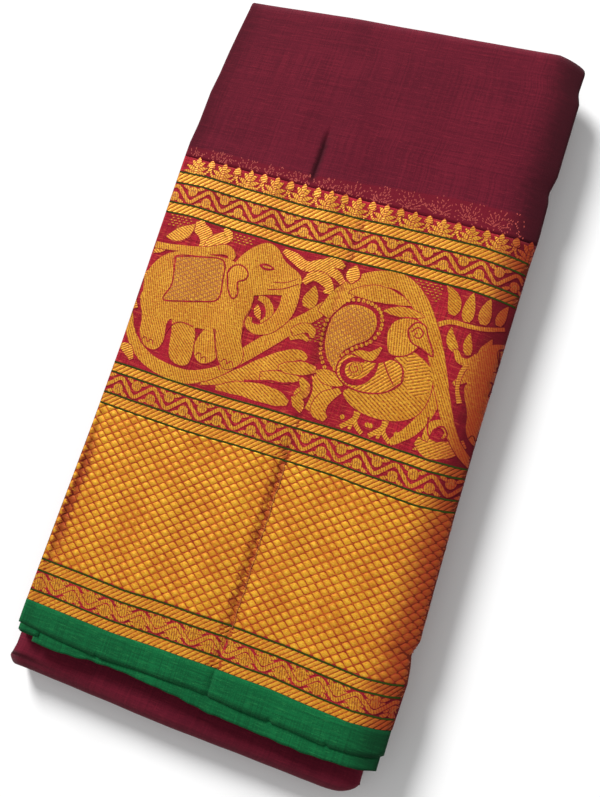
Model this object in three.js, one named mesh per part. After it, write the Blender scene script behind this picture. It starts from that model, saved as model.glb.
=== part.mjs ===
// A folded cotton saree lying flat: a maroon body, a wide metallic border and a green selvedge.
// The cloth is pleated along its length into a strip of many layers, and the strip is folded in three
// across its width, like a letter S. The top strip shows the border, with the selvedge at its near end.
// Millimetres, +Z up, X across the bundle, +Y towards the far fold, origin at the centre of the base.
import * as THREE from "three";

// The strips of the folded bundle
const FOLD_WIDTH = 207;
const STRIP_THICKNESS = 8.4;
const STRIP_GAP = 0.6;
const WALL = 1.2;
const SEAM = 0.3;
const COVERED = WALL + SEAM;
const HALF_STRIP = STRIP_THICKNESS / 2;
const TURN_RADIUS = (STRIP_THICKNESS + STRIP_GAP) / 2;
const LOWER_MIDDLE = HALF_STRIP;
const MIDDLE_MIDDLE = LOWER_MIDDLE + 2 * TURN_RADIUS;
const UPPER_MIDDLE = MIDDLE_MIDDLE + 2 * TURN_RADIUS;

// Places along the bundle, measured from the line where the border meets the green selvedge
const BORDER_WIDTH = 268;
const FAR_TURN = 372;
const NEAR_TURN = -32;
const LEDGE_START = -5;
const NEAR_RETURN = -10;
const FAR_RETURN = 355;
const FAR_SELVEDGE_START = 351;
const LOWER_END = 366;

// The rounding of the right side, where the outermost layer wraps round a strip
const SPINE_REACH = 16;
const SPINE_STEPS = 7;

// How much lower the body lies than the thicker border
const BODY_DROP = 0.9;
const BODY_DROP_START = 262;
const BODY_DROP_END = 290;

// Edges of the top strip, as seen from above
const LEFT_EDGE = [
  { y: -13, x: -1 },
  { y: 23, x: -0.6 },
  { y: 100, x: 0.5 },
  { y: 152, x: 0.6 },
  { y: 220, x: -0.8 },
  { y: 278, x: -1.8 },
  { y: 292, x: -0.8 },
  { y: 313, x: -0.4 },
  { y: 325, x: 1 },
  { y: 340, x: 2 },
  { y: 355, x: 3.4 },
  { y: 372, x: 5.2 },
];
const RIGHT_EDGE = [
  { y: -20, x: 206.2 },
  { y: 0, x: 206.9 },
  { y: 24, x: 207.8 },
  { y: 39, x: 205.4 },
  { y: 46, x: 207.8 },
  { y: 114, x: 206.6 },
  { y: 160, x: 206.4 },
  { y: 257, x: 207.2 },
  { y: 272, x: 208 },
  { y: 294, x: 207.4 },
  { y: 299, x: 206.1 },
  { y: 310, x: 208.2 },
  { y: 355, x: 208.3 },
  { y: 361, x: 206.2 },
  { y: 372, x: 206.6 },
];

// Edges of the middle and lower strips, which lie under the top one
const UNDER_LEFT_EDGE = [
  { y: -41, x: -0.4 },
  { y: -35, x: -2.8 },
  { y: -26, x: -1.2 },
  { y: 60, x: 0.2 },
  { y: 366, x: 4.5 },
];
const UNDER_RIGHT_EDGE = [
  { y: -41, x: 195.6 },
  { y: -38, x: 197.8 },
  { y: -34, x: 199.4 },
  { y: -24, x: 199.2 },
  { y: 0, x: 200.5 },
  { y: 60, x: 203.6 },
  { y: 366, x: 205 },
];

// The centre lines of the two turns, which do not run quite square across the bundle
const FAR_TURN_LINE = [
  { x: 5, y: 368.5 },
  { x: 29, y: 369.8 },
  { x: 66, y: 372 },
  { x: 144, y: 374.3 },
  { x: 190, y: 375.9 },
  { x: 207, y: 372.5 },
];
const NEAR_TURN_LINE = [
  { x: 0, y: -30.4 },
  { x: 22, y: -30.6 },
  { x: 53, y: -31.2 },
  { x: 83, y: -32.1 },
  { x: 190, y: -32 },
  { x: 199, y: -31 },
];

// Cut edges of the green selvedges, as seen from above
const TOP_SELVEDGE_EDGE = [
  { x: -1, y: -12.8 },
  { x: 20, y: -14.5 },
  { x: 45, y: -15.8 },
  { x: 100, y: -14 },
  { x: 130, y: -15.5 },
  { x: 175, y: -17 },
  { x: 190, y: -16 },
  { x: 207, y: -11.7 },
];
const SECOND_SELVEDGE_EDGE = [
  { x: 0, y: -16.5 },
  { x: 9.5, y: -17 },
  { x: 14, y: -14 },
  { x: 100, y: -12.5 },
  { x: 205, y: -10.8 },
];
const THIRD_SELVEDGE_EDGE = [
  { x: 9.6, y: -20.2 },
  { x: 22, y: -20.9 },
  { x: 45, y: -19 },
  { x: 63, y: -18.8 },
  { x: 87, y: -20.2 },
  { x: 115, y: -22.7 },
  { x: 171, y: -23.9 },
  { x: 187, y: -23.3 },
  { x: 205, y: -20.3 },
];

// The layers under the third selvedge: how far each stands out, and how its edge wanders
const STACK_EDGES = [-16.4, -18.2, -16.9, -17.8, -15.6, -17.2];
const STACK_WANDER = 0.9;
const STACK_NOTCH = 2.2;

// Creases of the top face that run along the bundle: a trough at x, from one y to another
const CREASES = [
  { x: 111, left: 7, right: 2.6, depth: 0.85, from: -16, to: 262, fade: 30 },
  { x: 4.2, left: 2.6, right: 4.5, depth: 0.9, from: 22, to: 112, fade: 26 },
  { x: 76.5, left: 2.4, right: 1.8, depth: 0.7, from: 277, to: 303, fade: 8 },
];
// Soft swells between the creases, each as wide as the layers under it allow
const SWELLS = [
  { x: 27, reach: 20, height: 0.25 },
  { x: 56, reach: 14, height: 0.4 },
  { x: 91, reach: 15, height: 0.5 },
  { x: 127, reach: 15, height: 0.4 },
  { x: 163, reach: 20, height: 0.3 },
];
const SWELL_FADE = 60;

// Where the faces are sampled. The x values are places between the left edge and the rounded side.
const FACE_END = 191;
const UPPER_X = [0, 2, 4.2, 7, 14, 27, 41, 56, 70, 76.5, 80, 91, 101, 106, 111, 114, 127, 144, 163, 178, FACE_END];
const UNDER_X = [0, 22, 53, 83, 137, FACE_END];
const BORDER_Y = [0.15, 22, 39, 46, 60, 86, 112, 145, 180, 215, 245, 267.85];
const BODY_Y = [268.15, 277, 284, 291, 299, 307, 325, 343, 355, 361];
const TURN_STEPS = 8;

// The folded edges of the hidden layers on the left side
const LAYER_RIDGES = 8;
const RIDGE_CREST = 0.3;
const RIDGE_VALLEY = 0.8;

const MAROON = { color: "#6d1a2e", roughness: 0.85, metalness: 0 };
const GOLD = { color: "#d0912a", roughness: 0.45, metalness: 0.4 };
const GREEN = { color: "#0c6a3c", roughness: 0.85, metalness: 0 };

// A smooth step from 0 to 1
function ease(t) {
  const c = Math.min(1, Math.max(0, t));
  return c * c * (3 - 2 * c);
}

// The value of a short table between its rows
function lookUp(table, key, value, at) {
  if (at <= table[0][key]) return table[0][value];
  for (let i = 1; i < table.length; i++) {
    const a = table[i - 1];
    const b = table[i];
    if (at <= b[key]) return a[value] + ((b[value] - a[value]) * (at - a[key])) / (b[key] - a[key]);
  }
  return table[table.length - 1][value];
}

const widthAt = (table, y) => lookUp(table, "y", "x", y);
const lengthAt = (table, x) => lookUp(table, "x", "y", x);

// Height of the top face over a plain flat one
function faceRise(x, y) {
  let rise = -BODY_DROP * ease((y - BODY_DROP_START) / (BODY_DROP_END - BODY_DROP_START));
  for (const swell of SWELLS) {
    const t = (x - swell.x) / swell.reach;
    const bump = Math.abs(t) < 1 ? 0.5 + 0.5 * Math.cos(Math.PI * t) : 0;
    rise += swell.height * bump * ease((FAR_TURN - y) / SWELL_FADE);
  }
  for (const crease of CREASES) {
    const t = x < crease.x ? (crease.x - x) / crease.left : (x - crease.x) / crease.right;
    const along = ease((y - crease.from) / crease.fade + 0.5) * ease((crease.to - y) / crease.fade + 0.5);
    if (t < 1) rise -= crease.depth * (1 - t) * (1 - t) * along;
  }
  return rise;
}

// A place beyond the border shifts with the slanting far fold
function slanted(x, y) {
  const share = Math.max(0, (y - BORDER_WIDTH) / (FAR_TURN - BORDER_WIDTH));
  return y + share * (lengthAt(FAR_TURN_LINE, x) - FAR_TURN);
}

// A place on the folded strip. The path names a stretch and how far along it lies, as y or as an angle;
// rise is the height over the strip's middle, measured where the strip lies on top.
function place(path, x, rise) {
  const { stretch, at } = path;
  if (stretch === "far") {
    const radius = TURN_RADIUS + rise;
    const middle = (UPPER_MIDDLE + MIDDLE_MIDDLE) / 2;
    return [x, slanted(x, FAR_TURN) + radius * Math.sin(at), middle + radius * Math.cos(at)];
  }
  if (stretch === "near") {
    const radius = TURN_RADIUS - rise;
    const middle = (MIDDLE_MIDDLE + LOWER_MIDDLE) / 2;
    return [x, lengthAt(NEAR_TURN_LINE, x) - radius * Math.sin(at), middle + radius * Math.cos(at)];
  }
  if (stretch === "upper") return [x, slanted(x, at), UPPER_MIDDLE + rise];
  if (stretch === "middle") return [x, slanted(x, at), MIDDLE_MIDDLE - rise];
  return [x, at, LOWER_MIDDLE + rise];
}

// The left and right edges of the strip at a place on its path
function edges({ stretch, at }) {
  const upper = (y) => [widthAt(LEFT_EDGE, y), widthAt(RIGHT_EDGE, y)];
  const under = (y) => [widthAt(UNDER_LEFT_EDGE, y), widthAt(UNDER_RIGHT_EDGE, y)];
  if (stretch === "upper") return upper(at);
  if (stretch === "near") return under(NEAR_TURN - 2 * TURN_RADIUS * Math.sin(at));
  if (stretch !== "far") return under(at);
  const [left, right] = upper(FAR_TURN);
  const [underLeft, underRight] = under(FAR_TURN);
  const share = ease(at / Math.PI);
  return [left + (underLeft - left) * share, right + (underRight - right) * share];
}

// How much the top of the strip is lifted or lowered at x: less and less round the far fold
function lift({ stretch, at }, x) {
  if (stretch === "upper") return faceRise(x, at);
  if (stretch === "far") return faceRise(x, FAR_TURN) * (1 - at / Math.PI);
  return 0;
}

// The places of one stretch where it is sampled
const along = (stretch, list) => list.map((at) => ({ stretch, at }));
const wholeTurn = (stretch) =>
  along(stretch, Array.from({ length: TURN_STEPS + 1 }, (_, i) => (Math.PI * i) / TURN_STEPS));

// x of the samples between the left edge and the start of the rounded side
const faceSamples = (list, left, right) => list.map((x) => left + (x / FACE_END) * (right - SPINE_REACH - left));

// The rounded right side at one depth under the outside, from its top to a little before its bottom.
// raised is the share of the top face's lift that each point takes.
function spine(right, inset, side, stopShort) {
  const points = [];
  for (let i = 0; i <= SPINE_STEPS; i++) {
    const angle = Math.PI / 2 - ((Math.PI - stopShort) * i) / SPINE_STEPS;
    points.push({
      x: right - SPINE_REACH + (SPINE_REACH - inset) * Math.cos(angle),
      rise: side * (HALF_STRIP - inset) * Math.sin(angle),
      raised: ease(side * Math.sin(angle)),
    });
  }
  return points;
}

// The ring of an outer wall: over the face of the given side, round the right, and back under it
function wallRing(left, right, side) {
  const list = side > 0 ? UPPER_X : UNDER_X;
  const xs = faceSamples(list, left, right).slice(0, -1);
  const skin = (inset) => [
    ...xs.map((x, i) => ({ x: i === 0 ? x + inset * 0.3 : x, rise: side * (HALF_STRIP - inset), raised: 1 })),
    ...spine(right, inset, side, 0.02),
  ];
  return [...skin(0), ...skin(WALL).reverse()];
}

// One ring point brought to its place
const placed = (path, { x, rise, raised }) => place(path, x, rise + raised * lift(path, x));

// One closed solid through rings of points, its two ends closed by the caps' triangles
function loft(rings, caps, lastCaps = caps) {
  const count = rings[0].length;
  const last = (rings.length - 1) * count;
  const index = [];
  for (let a = 0; a < last; a += count) {
    for (let j = 0; j < count; j++) {
      const k = (j + 1) % count;
      index.push(a + j, a + k, a + j + count, a + k, a + k + count, a + j + count);
    }
  }
  for (const [a, b, c] of caps) index.push(a, c, b);
  for (const [a, b, c] of lastCaps) index.push(last + a, last + b, last + c);
  const geometry = new THREE.BufferGeometry();
  geometry.setAttribute("position", new THREE.Float32BufferAttribute(rings.flat(2), 3));
  geometry.setIndex(signedVolume(geometry, index) < 0 ? index.reverse() : index);
  geometry.computeVertexNormals();
  return geometry;
}

function signedVolume(geometry, index) {
  const position = geometry.attributes.position;
  const corner = (i) => new THREE.Vector3().fromBufferAttribute(position, index[i]);
  let volume = 0;
  for (let i = 0; i < index.length; i += 3) volume += corner(i).dot(corner(i + 1).cross(corner(i + 2))) / 6;
  return volume;
}

// Caps for a ring that runs out along one skin and back along the other
function wallCaps(count) {
  const caps = [];
  for (let i = 0; i + 1 < count / 2; i++) {
    const across = count - 1 - i;
    caps.push([i, i + 1, across - 1], [i, across - 1, across]);
  }
  return caps;
}

// Caps for a ring of any flat outline, each turned the same way as the ring
function shapeCaps(points) {
  const outline = points.map(([x, y]) => new THREE.Vector2(x, y));
  const turned = THREE.ShapeUtils.area(outline) > 0;
  return THREE.ShapeUtils.triangulateShape(outline, []).map(([a, b, c]) => {
    const same = THREE.ShapeUtils.area([outline[a], outline[b], outline[c]]) > 0 === turned;
    return same ? [a, b, c] : [a, c, b];
  });
}

// The outermost layer along some places: a wall over one face and round the right side
function outerWall(stations, side) {
  const rings = stations.map((path) => wallRing(...edges(path), side).map((point) => placed(path, point)));
  return loft(rings, wallCaps(rings[0].length));
}

// The selvedge layers' left and right edges, and where the right side starts to round
const [SELVEDGE_LEFT, SELVEDGE_RIGHT] = edges({ stretch: "upper", at: -8 });
const SELVEDGE_FLAT_END = SELVEDGE_RIGHT - SPINE_REACH;

// The topmost selvedge, from its slanting cut edge back to the border
function topSelvedge() {
  const ring = wallRing(SELVEDGE_LEFT, SELVEDGE_RIGHT, 1);
  const rings = [0, 0.5, 1].map((share) =>
    ring.map((point) => {
      const front = lengthAt(TOP_SELVEDGE_EDGE, point.x);
      return placed({ stretch: "upper", at: front + (-SEAM / 2 - front) * share }, point);
    }),
  );
  return loft(rings, wallCaps(ring.length));
}

// x of the samples of a flat selvedge layer: the top face's own samples and the layer's two ends
function layerSamples(left, right) {
  const inside = faceSamples(UPPER_X, SELVEDGE_LEFT, SELVEDGE_RIGHT).filter((x) => x > left + 1 && x < right - 1);
  return [left, ...inside, right];
}

// A selvedge layer under the topmost one, between its cut edge and the border line
function selvedgeLayer(edge, left, right, depth) {
  const rings = layerSamples(left, right).map((x) => {
    const point = (y, down) => [x, y, UPPER_MIDDLE + HALF_STRIP - depth - down + faceRise(x, y)];
    const front = lengthAt(edge, x);
    return [point(front, 0), point(front, WALL), point(-SEAM / 2, WALL), point(-SEAM / 2, 0)];
  });
  return loft(rings, [[0, 1, 2], [0, 2, 3]]);
}

// How far the stack of selvedges reaches below the strip's middle: to the strip's underside, or to the
// outermost layer where that wraps round the right side
function stackBottom(x) {
  const beyond = (x - SELVEDGE_FLAT_END) / (SPINE_REACH - COVERED);
  return beyond < 0 ? HALF_STRIP : (HALF_STRIP - COVERED) * Math.sqrt(1 - beyond * beyond);
}

// The remaining selvedges of the top strip as one stack, its front stepped like separate layers
function selvedgeStack(samples, depth) {
  const ringAt = (x) => {
    const top = UPPER_MIDDLE + HALF_STRIP - depth + faceRise(x, -8);
    const pitch = (top - UPPER_MIDDLE + stackBottom(x)) / STACK_EDGES.length;
    const ring = [[x, -SEAM / 2, top]];
    STACK_EDGES.forEach((edge, k) => {
      const front = edge - STACK_WANDER * Math.sin(x / 31 + k * 1.7);
      const high = top - pitch * k;
      ring.push([x, front, k === 0 ? high : high - pitch * 0.2], [x, front, high - pitch * 0.8]);
      if (k + 1 < STACK_EDGES.length) ring.push([x, front + STACK_NOTCH, high - pitch]);
    });
    ring.push([x, -SEAM / 2, top - pitch * STACK_EDGES.length]);
    return ring;
  };
  const rings = samples.map(ringAt);
  return loft(rings, shapeCaps(rings[0].map(([, y, z]) => [y, z])));
}

// The ring of the hidden layers. hollow says how deep they lie under the strip's top face, under its
// right side and over its bottom face; the left side is ridged by the folded edges of the layers.
function layerRing(path, hollow) {
  const [left, right] = edges(path);
  const top = HALF_STRIP - hollow.top;
  const bottom = -HALF_STRIP + hollow.bottom;
  const flatEnd = right - SPINE_REACH - SEAM;
  const upper = faceSamples(UPPER_X, left, right).slice(1, -1);
  const under = faceSamples(UNDER_X, left, right).slice(1, -1).reverse();
  const ring = [left + RIDGE_VALLEY, ...upper, flatEnd].map((x) => ({ x, rise: top, raised: 1 }));
  ring.push(...spine(right, hollow.side, 1, 0));
  ring.push(...[flatEnd, ...under, left + RIDGE_VALLEY].map((x) => ({ x, rise: bottom, raised: 0 })));
  for (let i = 1; i < 2 * LAYER_RIDGES; i++) {
    const t = i / (2 * LAYER_RIDGES);
    ring.push({ x: left + (i % 2 ? RIDGE_CREST : RIDGE_VALLEY), rise: bottom + (top - bottom) * t, raised: t });
  }
  return ring;
}

// All the hidden layers as one solid. It lies deeper where an outer wall covers it.
function innerLayers() {
  const onTop = { top: COVERED, side: COVERED, bottom: 0 };
  const roundFar = { top: COVERED, side: COVERED, bottom: 0.6 };
  const bare = { top: 0, side: 0, bottom: 0 };
  const roundNear = { top: 0.6, side: COVERED, bottom: COVERED };
  const under = { top: 0, side: COVERED, bottom: COVERED };
  const parts = [
    [along("upper", [SEAM, ...BORDER_Y.slice(1, -1), BORDER_WIDTH, ...BODY_Y.slice(1)]), onTop],
    [wholeTurn("far"), roundFar],
    [along("middle", [FAR_RETURN]), onTop],
    [along("middle", [FAR_RETURN - SEAM, LEDGE_START + SEAM]), bare],
    [along("middle", [LEDGE_START, -12, -22]), under],
    [wholeTurn("near"), roundNear],
    [along("lower", [-22, NEAR_RETURN, 60, 200, FAR_SELVEDGE_START, LOWER_END]), under],
  ];
  const rings = parts.flatMap(([stations, hollow]) =>
    stations.map((path) => layerRing(path, hollow).map((point) => placed(path, point))),
  );
  // The bulge keeps points on one straight line apart, so that the cap takes them all
  const bulge = (x) => 1 + (x * (FOLD_WIDTH - x)) / 50000;
  const capsOf = (hollow) =>
    shapeCaps(layerRing({ stretch: "lower", at: 60 }, hollow).map(({ x, rise }) => [x, rise * bulge(x)]));
  return loft(rings, capsOf(onTop), capsOf(under));
}

const bundle = new THREE.Group();

// Adds a named piece of cloth
function piece(name, look, geometry) {
  const mesh = new THREE.Mesh(geometry, new THREE.MeshStandardMaterial(look));
  mesh.name = name;
  bundle.add(mesh);
}

const bodyStations = [
  ...along("upper", BODY_Y),
  ...wholeTurn("far"),
  ...along("middle", [FAR_RETURN + SEAM]),
];
const foldStations = [
  ...along("middle", [LEDGE_START - SEAM, -12, -22]),
  ...wholeTurn("near"),
  ...along("lower", [-22, NEAR_RETURN - SEAM / 2]),
];
const undersideStations = along("lower", [NEAR_RETURN + SEAM / 2, 60, 200, FAR_SELVEDGE_START - SEAM / 2]);

piece("border_upper", GOLD, outerWall(along("upper", BORDER_Y), 1));
piece("body_upper", MAROON, outerWall(bodyStations, 1));
piece("selvedge_upper", GREEN, topSelvedge());
piece("selvedge_second", GREEN, selvedgeLayer(SECOND_SELVEDGE_EDGE, 0.2, 194, COVERED));
piece("selvedge_third", GREEN, selvedgeLayer(THIRD_SELVEDGE_EDGE, 9.6, 202.5, 2 * COVERED));
const stackSamples = [...layerSamples(0.4, SELVEDGE_FLAT_END - SEAM), SELVEDGE_FLAT_END, 195, 199, 202];
piece("selvedge_stack", GREEN, selvedgeStack(stackSamples, 3 * COVERED));
piece("fold_lower", MAROON, outerWall(foldStations, -1));
piece("body_underside", MAROON, outerWall(undersideStations, -1));
piece("selvedge_far", GREEN, outerWall(along("lower", [FAR_SELVEDGE_START + SEAM / 2, LOWER_END]), -1));
piece("inner_layers", MAROON, innerLayers());

// The box round the bundle stands centred on the origin
const box = new THREE.Box3().setFromObject(bundle);
bundle.position.set(-(box.min.x + box.max.x) / 2, -(box.min.y + box.max.y) / 2, -box.min.z);

export default bundle;
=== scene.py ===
# A folded cotton saree lying flat: maroon cloth, a wide metallic brocade border and a green selvedge.
# Lengths in this file are millimetres on the folded bundle; to_frame() turns them into the frame's metres.
import math
import random

import bpy
from mathutils import Matrix, Vector


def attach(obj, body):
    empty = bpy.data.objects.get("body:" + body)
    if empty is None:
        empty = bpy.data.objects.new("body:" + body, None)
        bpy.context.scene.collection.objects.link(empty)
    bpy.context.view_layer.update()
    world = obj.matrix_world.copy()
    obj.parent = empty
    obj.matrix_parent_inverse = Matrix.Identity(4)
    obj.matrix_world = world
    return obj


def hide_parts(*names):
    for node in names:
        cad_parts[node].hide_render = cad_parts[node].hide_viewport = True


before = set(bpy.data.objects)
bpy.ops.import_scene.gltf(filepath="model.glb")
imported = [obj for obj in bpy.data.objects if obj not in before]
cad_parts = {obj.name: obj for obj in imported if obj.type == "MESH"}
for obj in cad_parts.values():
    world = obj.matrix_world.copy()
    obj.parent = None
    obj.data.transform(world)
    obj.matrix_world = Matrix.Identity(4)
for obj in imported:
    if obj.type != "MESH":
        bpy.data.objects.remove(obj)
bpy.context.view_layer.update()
rng = random.Random(7)

# The bundle, as in the model of the part
FRAME_X = 102.658
FRAME_Y = 171.693
HALF_STRIP = 4.2
TURN_RADIUS = 4.5
TURN_LENGTH = math.pi * (TURN_RADIUS + HALF_STRIP)
LOWER_MIDDLE = 4.2
MIDDLE_MIDDLE = 13.2
UPPER_MIDDLE = 22.2
# Heights that the two turns go round
NEAR_AXIS = 8.7
FAR_AXIS = 17.7
TOP = UPPER_MIDDLE + HALF_STRIP
SPINE_REACH = 16.0
BORDER_WIDTH = 268.0
FAR_TURN = 372.0
NEAR_TURN = -32.0
FAR_RETURN = 355.0
NEAR_RETURN = -10.0
LEDGE_START = -5.0
FAR_SELVEDGE_START = 351.0
LOWER_END = 366.0

# Outlines seen from above: (y, x) down the sides and (x, y) across the ends
LEFT_EDGE = [(-13, -1), (23, -0.6), (100, 0.5), (152, 0.6), (220, -0.8), (278, -1.8), (292, -0.8),
             (313, -0.4), (325, 1), (340, 2), (355, 3.4), (372, 5.2)]
RIGHT_EDGE = [(-20, 206.2), (0, 206.9), (24, 207.8), (33, 206.8), (39, 205.4), (46, 207.8), (114, 206.6),
              (160, 206.4), (257, 207.2), (272, 208), (294, 207.4), (299, 206.1), (310, 208.2),
              (355, 208.3), (361, 206.2), (372, 206.6)]
UNDER_LEFT_EDGE = [(-41, -0.4), (-35, -2.8), (-26, -1.2), (60, 0.2), (366, 4.5)]
UNDER_RIGHT_EDGE = [(-41, 195.6), (-38, 197.8), (-34, 199.4), (-24, 199.2), (0, 200.5), (60, 203.6),
                    (366, 205)]
FAR_TURN_LINE = [(5, 368.5), (29, 369.8), (66, 372), (144, 374.3), (190, 375.9), (207, 372.5)]
NEAR_TURN_LINE = [(0, -30.4), (22, -30.6), (53, -31.2), (83, -32.1), (190, -32), (199, -31)]
TOP_SELVEDGE_EDGE = [(-1, -12.8), (20, -14.5), (45, -15.8), (100, -14), (130, -15.5), (160, -16),
                     (175, -17), (190, -16.2), (199, -15), (204, -13.4), (207, -11.7)]
THIRD_SELVEDGE_EDGE = [(9.6, -20.3), (22, -21), (34, -20.7), (45, -18.9), (63, -18.7), (87, -20),
                       (100, -21), (115, -22.7), (135, -23), (155, -24), (171, -24), (187, -23.4),
                       (197, -22), (205, -20.3)]

# Small cuts in the topmost selvedge's edge: x, depth; and how far each reaches to its sides
NICKS = [(145.5, 1.9), (177.0, 2.1), (46.5, 0.9)]
NICK_REACH = 0.8

# Creases along the top face: x, reach left and right, depth, from y, to y, fade
CREASES = [(111.4, 5.6, 1.7, 0.85, -16, 122, 30), (111.2, 5, 1.5, 0.55, -16, 262, 20),
           (4.2, 2.6, 4.5, 1.2, 22, 112, 26), (76.5, 3.4, 2.4, 1.15, 273, 304, 8),
           (193, 2.4, 2.4, 0.45, 288, 302, 6)]
# Soft swells along the top face: x, reach, height; and how far before the far turn they fade
SWELLS = [(27, 20, 0.25), (56, 14, 0.4), (91, 15, 0.5), (127, 15, 0.4), (163, 20, 0.3)]
SWELL_FADE = 60
# The step down from the thick border to the thin body
BODY_DROP = 0.9
BODY_DROP_START = 262
BODY_DROP_REACH = 28

# How the woven rows wander across the bundle, near the selvedge and near the body: (x, y shift)
LOW_ROW_SHIFT = [(0, 0), (20, -0.5), (50, -1.3), (80, -0.4), (110, 0), (140, 0), (160, -1), (185, -2),
                 (200, -0.5), (207, 1)]
HIGH_ROW_SHIFT = [(0, 0), (15, 0.7), (50, -0.6), (82, -1.4), (110, -0.6), (150, 0.6), (180, 1),
                  (207, -1.2)]

# Woven rows of the border, from the selvedge to the body
GREEN_LINES = [5.7, 16.7, 23.0, 114.7, 121.2, 133.4, 138.9, 232.4, 238.7, 251.2, 257.8]
STRIPE_BANDS = [(0.2, 5.2), (17.2, 22.5), (115.3, 120.7), (133.9, 138.4), (232.9, 238.2), (251.7, 257.3)]
VINE_BANDS = [(6.2, 16.2), (121.7, 132.9), (239.2, 250.7)]
MESH_BAND = (23.5, 114.2)

# Cloth across the flat of the face, before the rounded right side
FACE_SPAN = 191.0
# Steps round the right side and round a turn
SPINE_STEPS = 14
TURN_STEPS = 18
# How thick an outer sheet is, and one layer at the selvedges' cut edges
CLOTH_THICKNESS = 0.4
EDGE_THICKNESS = 0.32


def ease(t):
    t = min(1.0, max(0.0, t))
    return t * t * (3 - 2 * t)


def look_up(table, at):
    """The value of a table of (place, value) rows between its rows."""
    if at <= table[0][0]:
        return table[0][1]
    for (p0, v0), (p1, v1) in zip(table, table[1:]):
        if at <= p1:
            return v0 + (v1 - v0) * (at - p0) / (p1 - p0)
    return table[-1][1]


def spread(start, end, step):
    """Evenly spaced values from start to end, about step apart."""
    count = max(1, round(abs(end - start) / step))
    return [start + (end - start) * i / count for i in range(count + 1)]


def to_frame(x, y, z):
    return ((x - FRAME_X) / 1000, (y - FRAME_Y) / 1000, z / 1000)


def srgb(red, green, blue):
    """A picture colour, 0 to 255, as the shader's linear one."""
    def linear(v):
        v /= 255
        return v / 12.92 if v <= 0.04045 else ((v + 0.055) / 1.055) ** 2.4
    return (linear(red), linear(green), linear(blue), 1.0)


def face_rise(x, y):
    """Height of the top face over a plain flat one."""
    rise = -BODY_DROP * ease((y - BODY_DROP_START) / BODY_DROP_REACH)
    for middle, reach, height in SWELLS:
        t = (x - middle) / reach
        if abs(t) < 1:
            rise += height * (0.5 + 0.5 * math.cos(math.pi * t)) * ease((FAR_TURN - y) / SWELL_FADE)
    for middle, left, right, depth, start, end, fade in CREASES:
        t = (middle - x) / left if x < middle else (x - middle) / right
        if t < 1:
            along = ease((y - start) / fade + 0.5) * ease((end - y) / fade + 0.5)
            rise -= depth * (1 - t) ** 2 * along
    rise += 0.05 * math.sin(x / 6.1 + y / 47) + 0.04 * math.sin(x / 10.3 - y / 31 + 1.3)
    return rise


def row_shift(x, y):
    """How far a woven row wanders from its straight line at x."""
    low, high = look_up(LOW_ROW_SHIFT, x), look_up(HIGH_ROW_SHIFT, x)
    share = ease((y - 110) / 90)
    return (low + (high - low) * share) * ease((y + 12) / 12) * (1 - ease((y - 262) / 6))


def slanted(x, y):
    """A place beyond the border shifts with the slanting far fold."""
    share = max(0.0, (y - BORDER_WIDTH) / (FAR_TURN - BORDER_WIDTH))
    return y + share * (look_up(FAR_TURN_LINE, x) - FAR_TURN)


def on_top(x, y, lift):
    """A place on the upper strip's outside. x runs on past the right edge as the cloth wraps round it."""
    left, right = look_up(LEFT_EDGE, y), look_up(RIGHT_EDGE, y)
    x = max(x, left + 0.12)
    start = right - SPINE_REACH
    if x <= start:
        return (x, slanted(x, y), TOP + face_rise(x, y) + lift)
    beyond = min(x - start, 2 * SPINE_REACH - 0.4) / SPINE_REACH
    across = beyond if beyond <= 1 else 2 - beyond
    up = math.sqrt(max(0.0, 1 - across * across)) * (1 if beyond <= 1 else -1)
    px = start + SPINE_REACH * across
    pz = UPPER_MIDDLE + HALF_STRIP * up + face_rise(px, y) * ease(up)
    normal = Vector((HALF_STRIP * across, SPINE_REACH * up)).normalized()
    return (px + normal.x * lift, slanted(px, y), pz + normal.y * lift)


def place(stretch, at, x, rise):
    """A place on the folded strip: along a stretch, across at x, at a height over the strip's middle."""
    if stretch == "far":
        radius = TURN_RADIUS + rise
        return (x, slanted(x, FAR_TURN) + radius * math.sin(at), FAR_AXIS + radius * math.cos(at))
    if stretch == "near":
        radius = TURN_RADIUS - rise
        return (x, look_up(NEAR_TURN_LINE, x) - radius * math.sin(at), NEAR_AXIS + radius * math.cos(at))
    if stretch == "upper":
        return (x, slanted(x, at), UPPER_MIDDLE + rise)
    if stretch == "middle":
        return (x, slanted(x, at), MIDDLE_MIDDLE - rise)
    return (x, at, LOWER_MIDDLE + rise)


def edges(stretch, at):
    """The strip's left and right edges at a place along it."""
    if stretch == "upper":
        return look_up(LEFT_EDGE, at), look_up(RIGHT_EDGE, at)
    if stretch == "far":
        share = ease(at / math.pi)
        upper, under = edges("upper", FAR_TURN), edges("lower", FAR_TURN)
        return tuple(a + (b - a) * share for a, b in zip(upper, under))
    y = NEAR_TURN - 2 * TURN_RADIUS * math.sin(at) if stretch == "near" else at
    return look_up(UNDER_LEFT_EDGE, y), look_up(UNDER_RIGHT_EDGE, y)


def lift_at(stretch, at, x):
    """How much the strip's top is lifted or lowered at x."""
    if stretch == "upper":
        return face_rise(x, at)
    if stretch == "far":
        return face_rise(x, FAR_TURN) * (1 - at / math.pi)
    return 0.0


# Mesh making

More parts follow.
